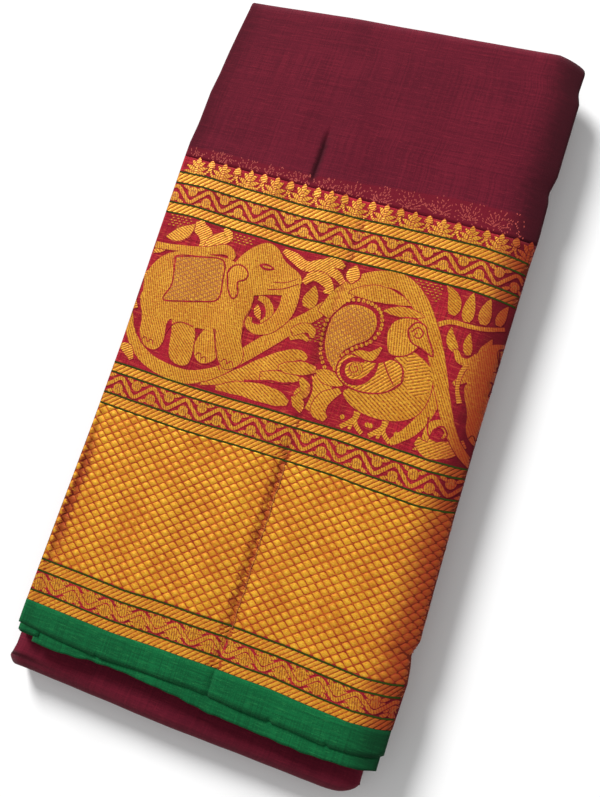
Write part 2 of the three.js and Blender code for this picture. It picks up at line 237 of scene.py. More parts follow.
def make_piece(name, points, faces, materials, uvs, face_materials=None):
    """A mesh object on the root body. uvs holds a list of per-point pairs for each UV map's name."""
    mesh = bpy.data.meshes.new(name)
    mesh.from_pydata([to_frame(*p) for p in points], [], faces)
    for material in materials:
        mesh.materials.append(material)
    if face_materials:
        mesh.polygons.foreach_set("material_index", face_materials)
    for title, pairs in uvs.items():
        layer = mesh.uv_layers.new(name=title)
        flat = []
        for loop in mesh.loops:
            flat.extend(pairs[loop.vertex_index])
        layer.data.foreach_set("uv", flat)
    mesh.polygons.foreach_set("use_smooth", [True] * len(faces))
    mesh.update()
    obj = bpy.data.objects.new(name, mesh)
    bpy.context.scene.collection.objects.link(obj)
    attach(obj, "root")
    return obj


def grid_faces(rows, columns, flip=False):
    faces = []
    for i in range(rows - 1):
        for j in range(columns - 1):
            a = i * columns + j
            face = (a, a + 1, a + columns + 1, a + columns)
            faces.append(face[::-1] if flip else face)
    return faces


def give_thickness(obj):
    solid = obj.modifiers.new("thickness", "SOLIDIFY")
    solid.thickness = CLOTH_THICKNESS / 1000
    solid.offset = -1.0
    solid.use_rim = True


# Materials. Their places are metres across and along the cloth.

def material(name, base, roughness, metallic=0.0, sheen=0.0, specular=0.5):
    mat = bpy.data.materials.new(name)
    mat.use_nodes = True
    inputs = mat.node_tree.nodes["Principled BSDF"].inputs
    for title, value in (("Base Color", base), ("Roughness", roughness), ("Metallic", metallic),
                         ("Sheen Weight", sheen), ("Specular IOR Level", specular)):
        inputs[title].default_value = value
    return mat


class Nodes:
    """Short calls for making a material's nodes."""

    def __init__(self, mat):
        self.tree = mat.node_tree
        self.shader = self.tree.nodes["Principled BSDF"]

    def add(self, kind, inputs, **settings):
        node = self.tree.nodes.new(kind)
        for key, value in settings.items():
            setattr(node, key, value)
        for key, value in inputs.items():
            if isinstance(value, bpy.types.NodeSocket):
                self.tree.links.new(value, node.inputs[key])
            else:
                node.inputs[key].default_value = value
        return node

    def uv(self, name, across=1.0, along=1.0):
        source = self.add("ShaderNodeUVMap", {}, uv_map=name).outputs["UV"]
        scale = (across, along, 1.0)
        return self.add("ShaderNodeMapping", {"Vector": source, "Scale": scale}).outputs["Vector"]

    def place(self, name="cloth"):
        """The two coordinates of a UV map; the cloth's are metres across and along it."""
        parts = self.add("ShaderNodeSeparateXYZ", {"Vector": self.uv(name)}).outputs
        return parts["X"], parts["Y"]

    def noise(self, across, along, detail=2.0, roughness=0.5):
        """Cloudy noise with so many periods a metre across and along the cloth."""
        return self.add("ShaderNodeTexNoise", {
            "Vector": self.uv("cloth", across, along), "Scale": 1.0, "Detail": detail,
            "Roughness": roughness}).outputs["Fac"]

    def wave(self, name, repeats, scale, distortion, direction):
        """Soft lines across one direction of a UV map."""
        return self.add("ShaderNodeTexWave", {
            "Vector": self.uv(name, repeats, repeats), "Scale": scale, "Distortion": distortion,
            "Detail": 1.0}, bands_direction=direction).outputs["Fac"]

    def math(self, operation, a, b=0.0):
        return self.add("ShaderNodeMath", {0: a, 1: b}, operation=operation).outputs["Value"]

    def product(self, first, *others):
        for other in others:
            first = self.math("MULTIPLY", first, other)
        return first

    def largest(self, first, *others):
        for other in others:
            first = self.math("MAXIMUM", first, other)
        return first

    def remap(self, value, low, high, out_low=0.0, out_high=1.0, smooth=False):
        return self.add("ShaderNodeMapRange", {
            "Value": value, "From Min": low, "From Max": high, "To Min": out_low, "To Max": out_high},
            interpolation_type="SMOOTHSTEP" if smooth else "LINEAR").outputs["Result"]

    def fade(self, value, low, high, smooth=False):
        return self.remap(value, low, high, 1.0, 0.0, smooth)

    def mix(self, factor, a, b):
        return self.add("ShaderNodeMix", {0: factor, 6: a, 7: b}, data_type="RGBA").outputs[2]

    def bump(self, height, strength, distance, after=None):
        inputs = {"Height": height, "Strength": strength, "Distance": distance / 1000}
        if after is not None:
            inputs["Normal"] = after
        return self.add("ShaderNodeBump", inputs).outputs["Normal"]

    def give(self, title, socket):
        self.tree.links.new(socket, self.shader.inputs[title])


def turned_away(n):
    """Where the creases and the rounded right side turn the threads away from the light, 0 to 1."""
    straight, y = n.place()
    wander = n.remap(n.noise(170, 420, 3.0, 0.7), 0.3, 0.7, -0.0028, 0.0028)
    x = n.math("ADD", straight, wander)
    inside = n.math("SUBTRACT", x, n.remap(y, 0.112, 0.128, 0.1052, 0.1096))
    patches = n.remap(n.noise(300, 240, 2.0, 0.6), 0.47, 0.56, 0.15, 0.95)
    flank = n.product(n.remap(inside, 0.0, 0.0022, smooth=True), patches)
    core = n.remap(x, 0.1094, 0.1108, smooth=True)
    crease = n.product(n.largest(flank, core), n.fade(x, 0.1124, 0.1134), n.remap(y, 0.112, 0.128, 1.0, 0.6),
                       n.fade(y, 0.250, 0.268), n.remap(y, -0.002, 0.040, 0.15, 0.9))
    trough = n.product(n.remap(x, 0.0008, 0.0026), n.fade(x, 0.0052, 0.0092, smooth=True),
                       n.fade(y, 0.082, 0.106), n.remap(y, 0.020, 0.044, 0.3, 1.0))
    side = n.product(n.remap(x, 0.180, 0.202, smooth=True), n.remap(x, 0.2085, 0.2130, 1.0, 0.35))
    left = n.product(n.remap(x, 0.0, 0.013, 0.55, 0.0, smooth=True), n.remap(y, 0.268, 0.276))
    soft = n.math("ADD", straight, n.product(wander, 0.25))
    tuck = n.product(n.remap(soft, 0.0725, 0.0762, smooth=True), n.fade(soft, 0.0766, 0.0805, smooth=True),
                     n.remap(y, 0.269, 0.275), n.fade(y, 0.295, 0.305))
    return n.largest(crease, trough, tuck, side, left)


def cotton(name, dyes, side_dark=0.0, slubs=1.0, veil=None):
    """Plain hand-woven cotton: fine weave, slubs along both threads, uneven dye.

    dyes are the base, the dark and light threads and the flecks. side_dark is how much folds shade it.
    veil is the colour of the body's edge, where it lies over the next layer's border.
    """
    base, dark, light, fleck = (srgb(*dye) for dye in dyes)
    mat = material(name, base, 0.9, sheen=0.04, specular=0.1)
    n = Nodes(mat)
    threads = n.product(n.math("ADD", n.noise(1100, 22, 3.0, 0.6), n.noise(22, 900, 3.0, 0.6)), 0.5)
    broad = n.product(n.math("ADD", n.noise(9, 150, 4.0, 0.6), n.noise(90, 9, 3.0, 0.6)), 0.5)
    cloudy = n.noise(30, 22, 3.0)
    slub = n.noise(130, 1000, 2.0, 0.7)
    grain = n.noise(1500, 1500, 2.0, 0.7)
    colour = n.mix(n.remap(threads, 0.42, 0.58, 0.5 - 0.5 * slubs, 0.5 + 0.5 * slubs, True), dark, light)
    for pattern, low, high, share, smooth, dye in (
            (broad, 0.45, 0.60, 0.5, True, base), (cloudy, 0.42, 0.65, 0.5 * slubs, True, dark),
            (slub, 0.56, 0.72, 0.7 * slubs, False, fleck), (grain, 0.56, 0.76, 0.55, False, fleck)):
        colour = n.mix(n.remap(pattern, low, high, 0.0, share, smooth), colour, dye)
    if veil:
        x, y = n.place()
        rim = n.math("ADD", n.remap(x, 0.06, 0.17, 0.2752, 0.2822, True),
                     n.remap(grain, 0.3, 0.7, -0.0004, 0.0004))
        over = n.math("SUBTRACT", y, rim)
        colour = n.mix(n.remap(over, -0.0006, 0.0006, 0.65, 0.0), colour, srgb(*veil))
    if side_dark:
        shade = tuple(0.45 * v for v in dark[:3]) + (1.0,)
        colour = n.mix(n.product(turned_away(n), side_dark), colour, shade)
    n.give("Base Color", colour)
    weave = n.product(*(n.wave("cloth", 1000, 0.6, 0.6, direction) for direction in "XY"))
    n.give("Normal", n.bump(n.math("ADD", threads, grain), 0.6, 0.25, n.bump(weave, 0.35, 0.12)))
    return mat


def gold(name, tones, padded=False):
    """Metallic thread over crimson, in floats that catch the light unevenly.

    tones are the middle and light threads, the gaps between them and the specks.
    """
    middle, light, deep, speck = (srgb(*tone) for tone in tones)
    mat = material(name, middle, 0.45, 0.3, specular=0.2)
    n = Nodes(mat)
    rows = n.noise(420, 1700, 2.0, 0.7)
    grain = n.noise(1300, 1300, 2.0, 0.8)
    glow = n.math("ADD", n.product(rows, 0.55), n.product(n.noise(60, 60), 0.45))
    colour = n.mix(n.remap(glow, 0.40, 0.60, smooth=True), middle, light)
    if padded:
        across, along = n.place("hatch")
        out = n.largest(n.math("ABSOLUTE", across), n.math("ABSOLUTE", along))
        relief = n.math("SUBTRACT", 1.0, out)
        uneven = n.remap(n.noise(240, 240, 2.0, 0.6), 0.38, 0.60)
        # Painted highlight on each pad's domed middle, stronger on some pads than others
        shine = n.product(n.remap(out, 0.0, 0.62, 0.95, 0.0, True), uneven)
        weft = n.noise(500, 2200, 2.0, 0.7)
        shares = ((shine, PAINTED_HIGHLIGHT), (n.remap(out, 0.69, 0.99, 0.0, 0.95, True), deep),
                  (n.remap(weft, 0.5, 0.66, 0.0, 0.6), speck))
    else:
        relief = n.wave("hatch", 1.0, HATCH_SCALE, 0.5, "X")
        broken = n.remap(n.noise(800, 1100, 1.0), 0.36, 0.56, 0.35, 1.0)
        thread = n.noise(650, 900, 2.0, 0.6)
        shares = ((n.product(n.fade(relief, 0.0, 0.6, True), broken), deep),
                  (n.remap(thread, 0.55, 0.68, 0.0, 0.6), speck),
                  # painted glints on the threads
                  (n.remap(thread, 0.32, 0.44, 0.6, 0.0), PAINTED_HIGHLIGHT))
    shares += ((n.remap(grain, 0.56, 0.74, 0.0, 0.7), speck),
               # painted glints in the grain
               (n.remap(grain, 0.28, 0.38, 0.35, 0.0), PAINTED_HIGHLIGHT),
               # painted shade in the creases and round the right side
               (n.product(turned_away(n), 0.85), PAINTED_FOLD_SHADE))
    for share, tone in shares:
        colour = n.mix(share, colour, tone)
    n.give("Base Color", colour)
    n.give("Roughness", n.remap(grain, 0.3, 0.7, 0.36, 0.6))
    n.give("Normal", n.bump(relief, 0.5, 0.2, n.bump(rows, 0.5, 0.2)))
    return mat


def layered(name, dyes):
    """The folded edges of the hidden layers, which carry the border's gold where the top face does."""
    mat = cotton(name, dyes)
    n = Nodes(mat)
    plain = n.shader.inputs["Base Color"].links[0].from_socket
    y = n.place()[1]
    figured = n.noise(700, 130, 2.0, 0.6)
    main = n.product(n.remap(y, 0.1390, 0.1395), n.fade(y, 0.2318, 0.2322))
    rows, figures = (n.mix(n.remap(figured, low, high), ZARI_EDGE, CRIMSON_EDGE)
                     for low, high in ((0.60, 0.68), (0.45, 0.55)))
    border = n.mix(main, rows, figures)
    n.give("Base Color", n.mix(n.remap(y, 0.2675, 0.2682), border, plain))
    return mat


# One line of the hatch for each unit of its UV map
HATCH_SCALE = 0.314159
ZARI_EDGE = srgb(160, 96, 22)
CRIMSON_EDGE = srgb(120, 14, 34)
# Painted highlight: pale gold for the pads' middles and for scattered glints on the threads
PAINTED_HIGHLIGHT = srgb(232, 184, 62)
# Painted shade on the gold: dark red where creases and the rounded right side turn its threads away from the
# light
PAINTED_FOLD_SHADE = srgb(140, 32, 20)
GREEN_DYES = ((6, 86, 46), (3, 64, 34), (11, 102, 55), (44, 130, 72))
MAROON = cotton("maroon_cotton", ((92, 17, 36), (75, 11, 29), (104, 21, 40), (126, 32, 47)), slubs=0.5)
LAYERED = layered("maroon_layers", ((97, 18, 37), (70, 10, 27), (110, 22, 41), (138, 36, 50)))
BODY = cotton("maroon_body", ((96, 18, 37), (75, 11, 29), (108, 22, 41), (134, 35, 50)), 0.9, 0.55,
              veil=(110, 16, 33))
GREEN = cotton("green_cotton", GREEN_DYES, 0.75, 0.55)
FAR_GREEN = cotton("far_green_cotton", GREEN_DYES, slubs=0.55)
CRIMSON = cotton("crimson_ground", ((150, 21, 42), (121, 12, 31), (163, 27, 46), (206, 90, 58)), 0.95)
NET_GROUND = cotton("net_ground", ((158, 64, 26), (130, 38, 20), (178, 88, 28), (200, 120, 42)), 0.95)
GOLD = gold("zari_gold", ((194, 126, 29), (210, 150, 42), (116, 46, 14), (166, 66, 34)))
GOLD_PAD = gold("zari_pads", ((197, 130, 27), (218, 162, 38), (170, 74, 24), (176, 72, 26)), True)
# Darker gold for the patterns' fine lines, and for the line of painted shade along the net's crease
GOLD_SHADE = material("shaded_zari", srgb(150, 76, 20), 0.6, 0.2)
COPPER = material("covered_zari", srgb(158, 54, 46), 0.8)
LINE_GREEN = material("line_thread", srgb(36, 54, 8), 0.8, specular=0.1)


# The cloths that show

def face_columns(step):
    """x places on a strip from 0 to FACE_SPAN, closer together at the creases."""
    xs = set(round(x, 3) for x in spread(0, FACE_SPAN, step))
    for middle, left, right, *_ in CREASES[:4]:
        xs.update(round(x, 3) for x in spread(middle - left, middle, 0.7))
        xs.update(round(x, 3) for x in spread(middle, middle + right, 0.5))
    ordered = sorted(xs)
    kept = [ordered[0]]
    for x in ordered[1:]:
        if x - kept[-1] > 0.3:
            kept.append(x)
    kept[-1] = FACE_SPAN
    return kept


def section(left, right, columns, side):
    """Points across an outer sheet, over the face and round the right side: x, rise, share of lift, u."""
    start = right - SPINE_REACH
    points = [(left + x / FACE_SPAN * (start - left), side * HALF_STRIP, 1.0, x) for x in columns[:-1]]
    for i in range(SPINE_STEPS + 1):
        angle = math.pi / 2 - (math.pi - 0.02) * i / SPINE_STEPS
        beyond = math.cos(angle) if angle > 0 else 2 - math.cos(angle)
        points.append((start + SPINE_REACH * math.cos(angle), side * HALF_STRIP * math.sin(angle),
                       ease(side * math.sin(angle)), FACE_SPAN + SPINE_REACH * beyond))
    return points


def fold_wrinkle(stretch, x):
    """Soft unevenness of the near fold's cloth."""
    return 0.0 if stretch == "lower" else 0.12 * (1 + math.sin(x / 13.0 + 0.8) * math.sin(x / 5.7))


def outer_sheet(name, stations, side, columns, mat):
    """The outermost layer along some stations: (stretch, place along it, v of the cloth)."""
    points, cloth = [], []
    for stretch, at, v in stations:
        ring = section(*edges(stretch, at), columns, side)
        for x, rise, raised, u in ring:
            extra = fold_wrinkle(stretch, x) if side < 0 else 0.0
            y = at + row_shift(u, at) if stretch == "upper" else at
            points.append(place(stretch, y, x, rise + raised * (lift_at(stretch, y, x) + extra)))
            cloth.append((u / 1000, v / 1000))
    faces = grid_faces(len(stations), len(ring), flip=side < 0)
    return make_piece(name, points, faces, [mat], {"cloth": cloth})


def along(stretch, start, end, step, v_start):
    """Stations from start to end of a straight stretch."""
    sign = 1 if end > start else -1
    return [(stretch, at, v_start + sign * (at - start)) for at in spread(start, end, step)]


def turning(stretch, steps, v_start):
    """Stations round a turn, without its ends."""
    return [(stretch, math.pi * i / steps, v_start + TURN_LENGTH * i / steps) for i in range(1, steps)]


border_stations = along("upper", 0.0, BORDER_WIDTH, 2.0, 0.0)
border_cloth = outer_sheet("border_cloth", border_stations, 1, face_columns(2.4), CRIMSON)
border_cloth.data.materials.append(NET_GROUND)
row_length = len(border_cloth.data.polygons) // (len(border_stations) - 1)
for k, polygon in enumerate(border_cloth.data.polygons):
    y = border_stations[k // row_length][1] + 1.0
    if any(low - 0.5 < y < high + 0.3 for low, high in STRIPE_BANDS + [MESH_BAND]):
        polygon.material_index = 1

body_stations = (along("upper", BORDER_WIDTH, FAR_TURN, 2.5, BORDER_WIDTH)
                 + turning("far", TURN_STEPS, FAR_TURN)
                 + along("middle", FAR_TURN, FAR_RETURN, 4.0, FAR_TURN + TURN_LENGTH))
body_cloth = outer_sheet("body_cloth", body_stations, 1, face_columns(3.0), BODY)


def nick(x):
    """How deep the small cuts in the topmost selvedge's edge are at x."""
    return sum(deep * max(0.0, 1 - abs(x - middle) / NICK_REACH) for middle, deep in NICKS)


def selvedge_top():
    """The topmost selvedge, out to its slanting cut edge."""
    near_nicks = [middle + side for middle, _ in NICKS for side in (-NICK_REACH, 0, NICK_REACH)]
    columns = [x for x in face_columns(2.4) if all(abs(x - n) > 0.5 for n in near_nicks)]
    ring = section(*edges("upper", -8), sorted(columns + near_nicks), 1)
    shares = spread(0, 1, 0.2)
    points, cloth = [], []
    for share in shares:
        for x, rise, raised, u in ring:
            front = look_up(TOP_SELVEDGE_EDGE, x) + nick(x)
            y = front * share + row_shift(u, 0) * (1 - share)
            points.append(place("upper", y, x, rise + raised * (face_rise(x, y) - 0.25 * share * share)))
            cloth.append((u / 1000, y / 1000))
    return make_piece("selvedge_top_cloth", points, grid_faces(len(shares), len(ring), flip=True), [GREEN],
                      {"cloth": cloth})


selvedge_cloth = selvedge_top()
UNDER_COLUMNS = spread(0, FACE_SPAN, 6.0)
# Cloth on the ledge before the near turn
LEDGE = LEDGE_START - NEAR_TURN
fold_stations = (along("middle", LEDGE_START, NEAR_TURN, 3.0, 0.0) + turning("near", TURN_STEPS, LEDGE)
                 + along("lower", NEAR_TURN, NEAR_RETURN, 4.0, LEDGE + TURN_LENGTH))
fold_cloth = outer_sheet("near_fold_cloth", fold_stations, -1, UNDER_COLUMNS, MAROON)
underside_stations = along("lower", NEAR_RETURN, FAR_SELVEDGE_START, 10.0, 60.0)
underside_cloth = outer_sheet("underside_cloth", underside_stations, -1, UNDER_COLUMNS, MAROON)
far_stations = along("lower", FAR_SELVEDGE_START, LOWER_END, 3.0, 420.0)
far_selvedge_cloth = outer_sheet("far_selvedge_cloth", far_stations, -1, UNDER_COLUMNS, FAR_GREEN)

for obj, node, slot, flat in (
        (border_cloth, "border_upper", "zari_border", (0.227, 0.268)),
        (body_cloth, "body_upper", "maroon_cotton", (0.227, 0.148)),
        (selvedge_cloth, "selvedge_upper", "green_selvedge", (0.227, 0.0145)),
        (fold_cloth, "fold_lower", "maroon_cotton", (0.217, 0.076)),
        (underside_cloth, "body_underside", "maroon_cotton", (0.222, 0.361)),
        (far_selvedge_cloth, "selvedge_far", "green_selvedge", (0.222, 0.015))):
    give_thickness(obj)
    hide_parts(node)


# The hidden layers: the body of each strip, with the layers' folded edges down the left side

PAGES = 16
# How far each layer's folded edge stands out
PAGE_OUT = [0.5, -0.1, 0.8, 0.2, -0.4, 0.6, 0.1, 0.9, -0.2, 0.4, 0.7, -0.3, 0.3, 0.9, 0.0, 0.5]
# Round a folded edge: the share of the layer's thickness, and how far inside it lies
PAGE_ROUND = ((0.0, 1.25), (0.14, 0.16), (0.5, 0.0), (0.86, 0.16))
# From the strip's left edge to the hidden layers' flat top
PAGE_DEPTH = 1.3
# How deep the hidden layers lie under an outer sheet, and inside a turn
UNDER_SHEET = 0.55
INSIDE_TURN = 0.6


def page_edge(layer, v):
    """How far inside the strip's left edge one folded layer ends, at v along the cloth."""
    wander = (0.35 * math.sin(v / (23.0 + 3.1 * (layer % 5)) + 2.4 * layer)
              + 0.2 * math.sin(v / 61.0 + 1.7 * layer))
    return 0.75 - 0.5 * PAGE_OUT[layer] + wander


def layers_ring(stretch, at, v, hollow):
    """The ring of the hidden layers. hollow is how deep they lie under the top, right side and underside."""
    left, right = edges(stretch, at)
    top, side, bottom = HALF_STRIP - hollow[0], hollow[1], -HALF_STRIP + hollow[2]
    flat_end = right - SPINE_REACH - 0.3
    columns = [left + PAGE_DEPTH + x / FACE_SPAN * (flat_end - left - PAGE_DEPTH) for x in face_columns(12.0)]
    ring = [(x, top, 1.0) for x in columns]
    for i in range(13):
        angle = math.pi / 2 - math.pi * i / 12
        ring.append((right - SPINE_REACH + (SPINE_REACH - side) * math.cos(angle),
                     (HALF_STRIP - side) * math.sin(angle), ease(math.sin(angle))))
    ring += [(x, bottom, 0.0) for x in reversed(columns[::6] + [flat_end])]
    for layer in range(PAGES):
        edge = left + page_edge(layer, v)
        for t, inside in PAGE_ROUND:
            share = (layer + t) / PAGES
            ring.append((edge + inside, bottom + (top - bottom) * share, share))
    return ring


def tube_faces(count, width, offset=0, flip=False):
    """Faces round a tube of count rings and over its two ends."""
    faces = []
    for i in range(count - 1):
        a, b = offset + i * width, offset + (i + 1) * width
        for j in range(width):
            k = (j + 1) % width
            faces.append((a + j, b + j, b + k, a + k) if flip else (a + j, a + k, b + k, b + j))
    first, last = (tuple(range(start, start + width)) for start in (offset, offset + (count - 1) * width))
    return faces + ([first, last[::-1]] if flip else [first[::-1], last])


def hidden_layers():
    """All three strips and both turns as one rounded solid."""
    parts = [
        (along("upper", 0.4, 361, 8.0, 0.0), (UNDER_SHEET, UNDER_SHEET, 0.0)),
        (turning("far", 14, 372.0), (UNDER_SHEET, UNDER_SHEET, INSIDE_TURN)),
        ([("middle", FAR_RETURN + 0.3, 400.0)], (UNDER_SHEET, UNDER_SHEET, 0.0)),
        (along("middle", FAR_RETURN - 0.3, LEDGE_START + 0.3, 8.0, 400.0), (0.0, 0.0, 0.0)),
        ([("middle", LEDGE_START - 0.3, 760.0), ("middle", -22, 780.0)], (0.0, UNDER_SHEET, UNDER_SHEET)),
        (turning("near", 14, 790.0), (INSIDE_TURN, UNDER_SHEET, UNDER_SHEET)),
        (along("lower", -22, LOWER_END - 14, 8.0, 820.0), (0.0, UNDER_SHEET, UNDER_SHEET)),
    ]
    points, cloth, count = [], [], 0
    for stations, hollow in parts:
        for stretch, at, v in stations:
            ring = layers_ring(stretch, at, v, hollow)
            count += 1
            for x, rise, raised in ring:
                points.append(place(stretch, at, x, rise + raised * lift_at(stretch, at, x)))
                cloth.append(((x + rise) / 1000, v / 1000))
    return make_piece("hidden_layers", points, tube_faces(count, len(ring)), [LAYERED], {"cloth": cloth})


layers = hidden_layers()
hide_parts("inner_layers")


# The selvedges' cut edges, layer on layer

# Places across a slab, from its cut edge to its inner one, and the selvedges' inner edge
SLAB_SHARES = (0.0, 0.06, 0.35, 0.7, 1.0)
SELVEDGE_INNER = -0.3


def edge_layers(name, sheets, mat):
    """Thin slabs of cloth. A sheet is (x from, x to, height of its top at (x, y), cut edge at x, inner y)."""
    points, faces, cloth = [], [], []
    for start, end, height, cut, inner in sheets:
        offset = len(points)
        xs = spread(start, end, 3.0)
        for x in xs:
            ys = [cut(x) + (inner - cut(x)) * share for share in SLAB_SHARES]
            tops = [(y, height(x, y)) for y in ys]
            for y, z in tops + [(y, z - EDGE_THICKNESS) for y, z in reversed(tops)]:
                points.append((x, y, z))
                cloth.append((x / 1000, y / 1000))
        faces += tube_faces(len(xs), 2 * len(SLAB_SHARES), offset, flip=True)
    return make_piece(name, points, faces, [mat], {"cloth": cloth})


def ragged(table, seed, amount):
    """A cut edge that follows the table, a little ragged."""
    def edge(x):
        return look_up(table, x) + amount * (math.sin(x / 2.9 + seed) * math.sin(x / 7.3 + 2 * seed)
                                             + 0.5 * math.sin(x / 1.7 + 3 * seed))
    return edge


def sheet_height(depth, droop, seed):
    """The top of a layer that lies depth under the top face and droops towards its cut edge."""
    reach = SPINE_REACH - 0.5 * min(depth, 2 * HALF_STRIP - depth)

    def height(x, y):
        start = look_up(RIGHT_EDGE, y) - SPINE_REACH
        across = min(0.97, max(0.0, (x - start) / reach))
        along_edge = 0.12 * math.sin(x / 17.0 + seed) + 0.08 * math.sin(x / 7.0 + 2.1 * seed)
        rise = HALF_STRIP - depth + face_rise(x, y) * 0.8 + along_edge
        return UPPER_MIDDLE + rise * math.sqrt(1 - across * across) - droop * ease((-y - 8) / 14)
    return height


def far_height(level):
    """The top of a layer at the far end of the lower strip."""
    def height(x, y):
        return level + 0.06 * math.sin(x / 15.0 + level)
    return height


second = edge_layers("selvedge_second_cloth", [
    (0.2, 12.5, sheet_height(0.62, 0.1, 1.0), lambda x: -16.6 - 0.04 * x, SELVEDGE_INNER)], GREEN)
third = edge_layers("selvedge_third_cloth", [
    (9.6, 205.0, sheet_height(0.85, 0.3, 2.0), ragged(THIRD_SELVEDGE_EDGE, 0.4, 0.3), SELVEDGE_INNER)], GREEN)
stack = []
for k in range(11):
    front = -16.2 - 1.9 * abs(math.sin(1.3 * k + 0.7))
    table = [(0, front), (60, front - 0.9 * math.sin(k)), (130, front + 0.8 * math.sin(2.1 * k)),
             (204, front + 0.4)]
    stack.append((0.3 + 0.5 * math.sin(2.2 * k), 203.8 - 0.5 * k, sheet_height(1.6 + 0.58 * k, 0.15, 0.7 * k),
                  ragged(table, k, 0.2), SELVEDGE_INNER))
stack_cloth = edge_layers("selvedge_stack_cloth", stack, GREEN)

far_sheets = []
for k in range(12):
    end = 365.6 + 0.9 * math.sin(2.3 * k)
    table = [(0, end), (90, end - 0.8 * math.sin(k)), (204, end + 0.5 * math.cos(k))]
    reach = 201.5 - 0.22 * (k - 6) ** 2
    far_sheets.append((4.6 + 0.4 * math.sin(k), reach, far_height(8.3 - 0.6 * k), ragged(table, k, 0.2),
                       351.5))
far_layers = edge_layers("far_selvedge_layers", far_sheets, FAR_GREEN)

for obj, node, flat in (
        (second, "selvedge_second", (0.0123, 0.0164)), (third, "selvedge_third", (0.195, 0.021)),
        (stack_cloth, "selvedge_stack", (2.2, 0.0172)), (far_layers, None, (2.37, 0.014))):
    if node:
        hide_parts(node)


# The brocade: raised gold figures on the border cloth

FIGURE_LIFT = 0.09
LEVEL_STEP = 0.032
# How much lower a patch's rim lies than its middle and an outline than the rim, and a skirt's foot
RIM_DROP = 0.015
OUTLINE_DROP = 0.012
SKIRT_FOOT = -0.12
# Wide bands are a little fuller than their widths say; narrow ones have no skirt
FULLER = 1.1
NARROW = 1.2
# Widths along a leaf, from its base to its tip
POINTED = (0.12, 0.72, 1.0, 0.92, 0.6, 0.05)
BLUNT = (0.5, 0.95, 1.0, 0.82, 0.5, 0.05)


def around(items):
    """Each item of a closed list with the next one."""
    return list(zip(items, items[1:] + items[:1]))


def turn_of(path):
    """The direction across the threads of a patch that lies along a path."""
    return math.atan2(path[-1][1] - path[0][1], path[-1][0] - path[0][0]) + 0.45


def curve_through(points, closed, step=1.3):
    """A smooth line through the points, sampled about every step. Each sample is (x, y, place along)."""
    count = len(points)
    spans = count if closed else count - 1
    samples = []
    for i in range(spans):
        p0, p1, p2, p3 = (points[k % count] if closed else points[min(max(k, 0), count - 1)]
                          for k in (i - 1, i, i + 1, i + 2))
        cuts = max(2, round(math.dist(p1, p2) / step))
        for c in range(cuts):
            t = c / cuts
            samples.append(tuple(
                0.5 * (2 * b + (d - a) * t + (2 * a - 5 * b + 4 * d - e) * t * t
                       + (3 * b - a - 3 * d + e) * t ** 3)
                for a, b, d, e in zip(p0, p1, p2, p3)) + (i + t,))
    if not closed:
        samples.append(tuple(points[-1]) + (float(spans),))
    return samples


def within(corners, x, y):
    """Whether a place lies inside an outline."""
    inside = False
    for (ax, ay), (bx, by) in around(corners):
        if (ay > y) != (by > y) and x < ax + (y - ay) * (bx - ax) / (by - ay):
            inside = not inside
    return inside


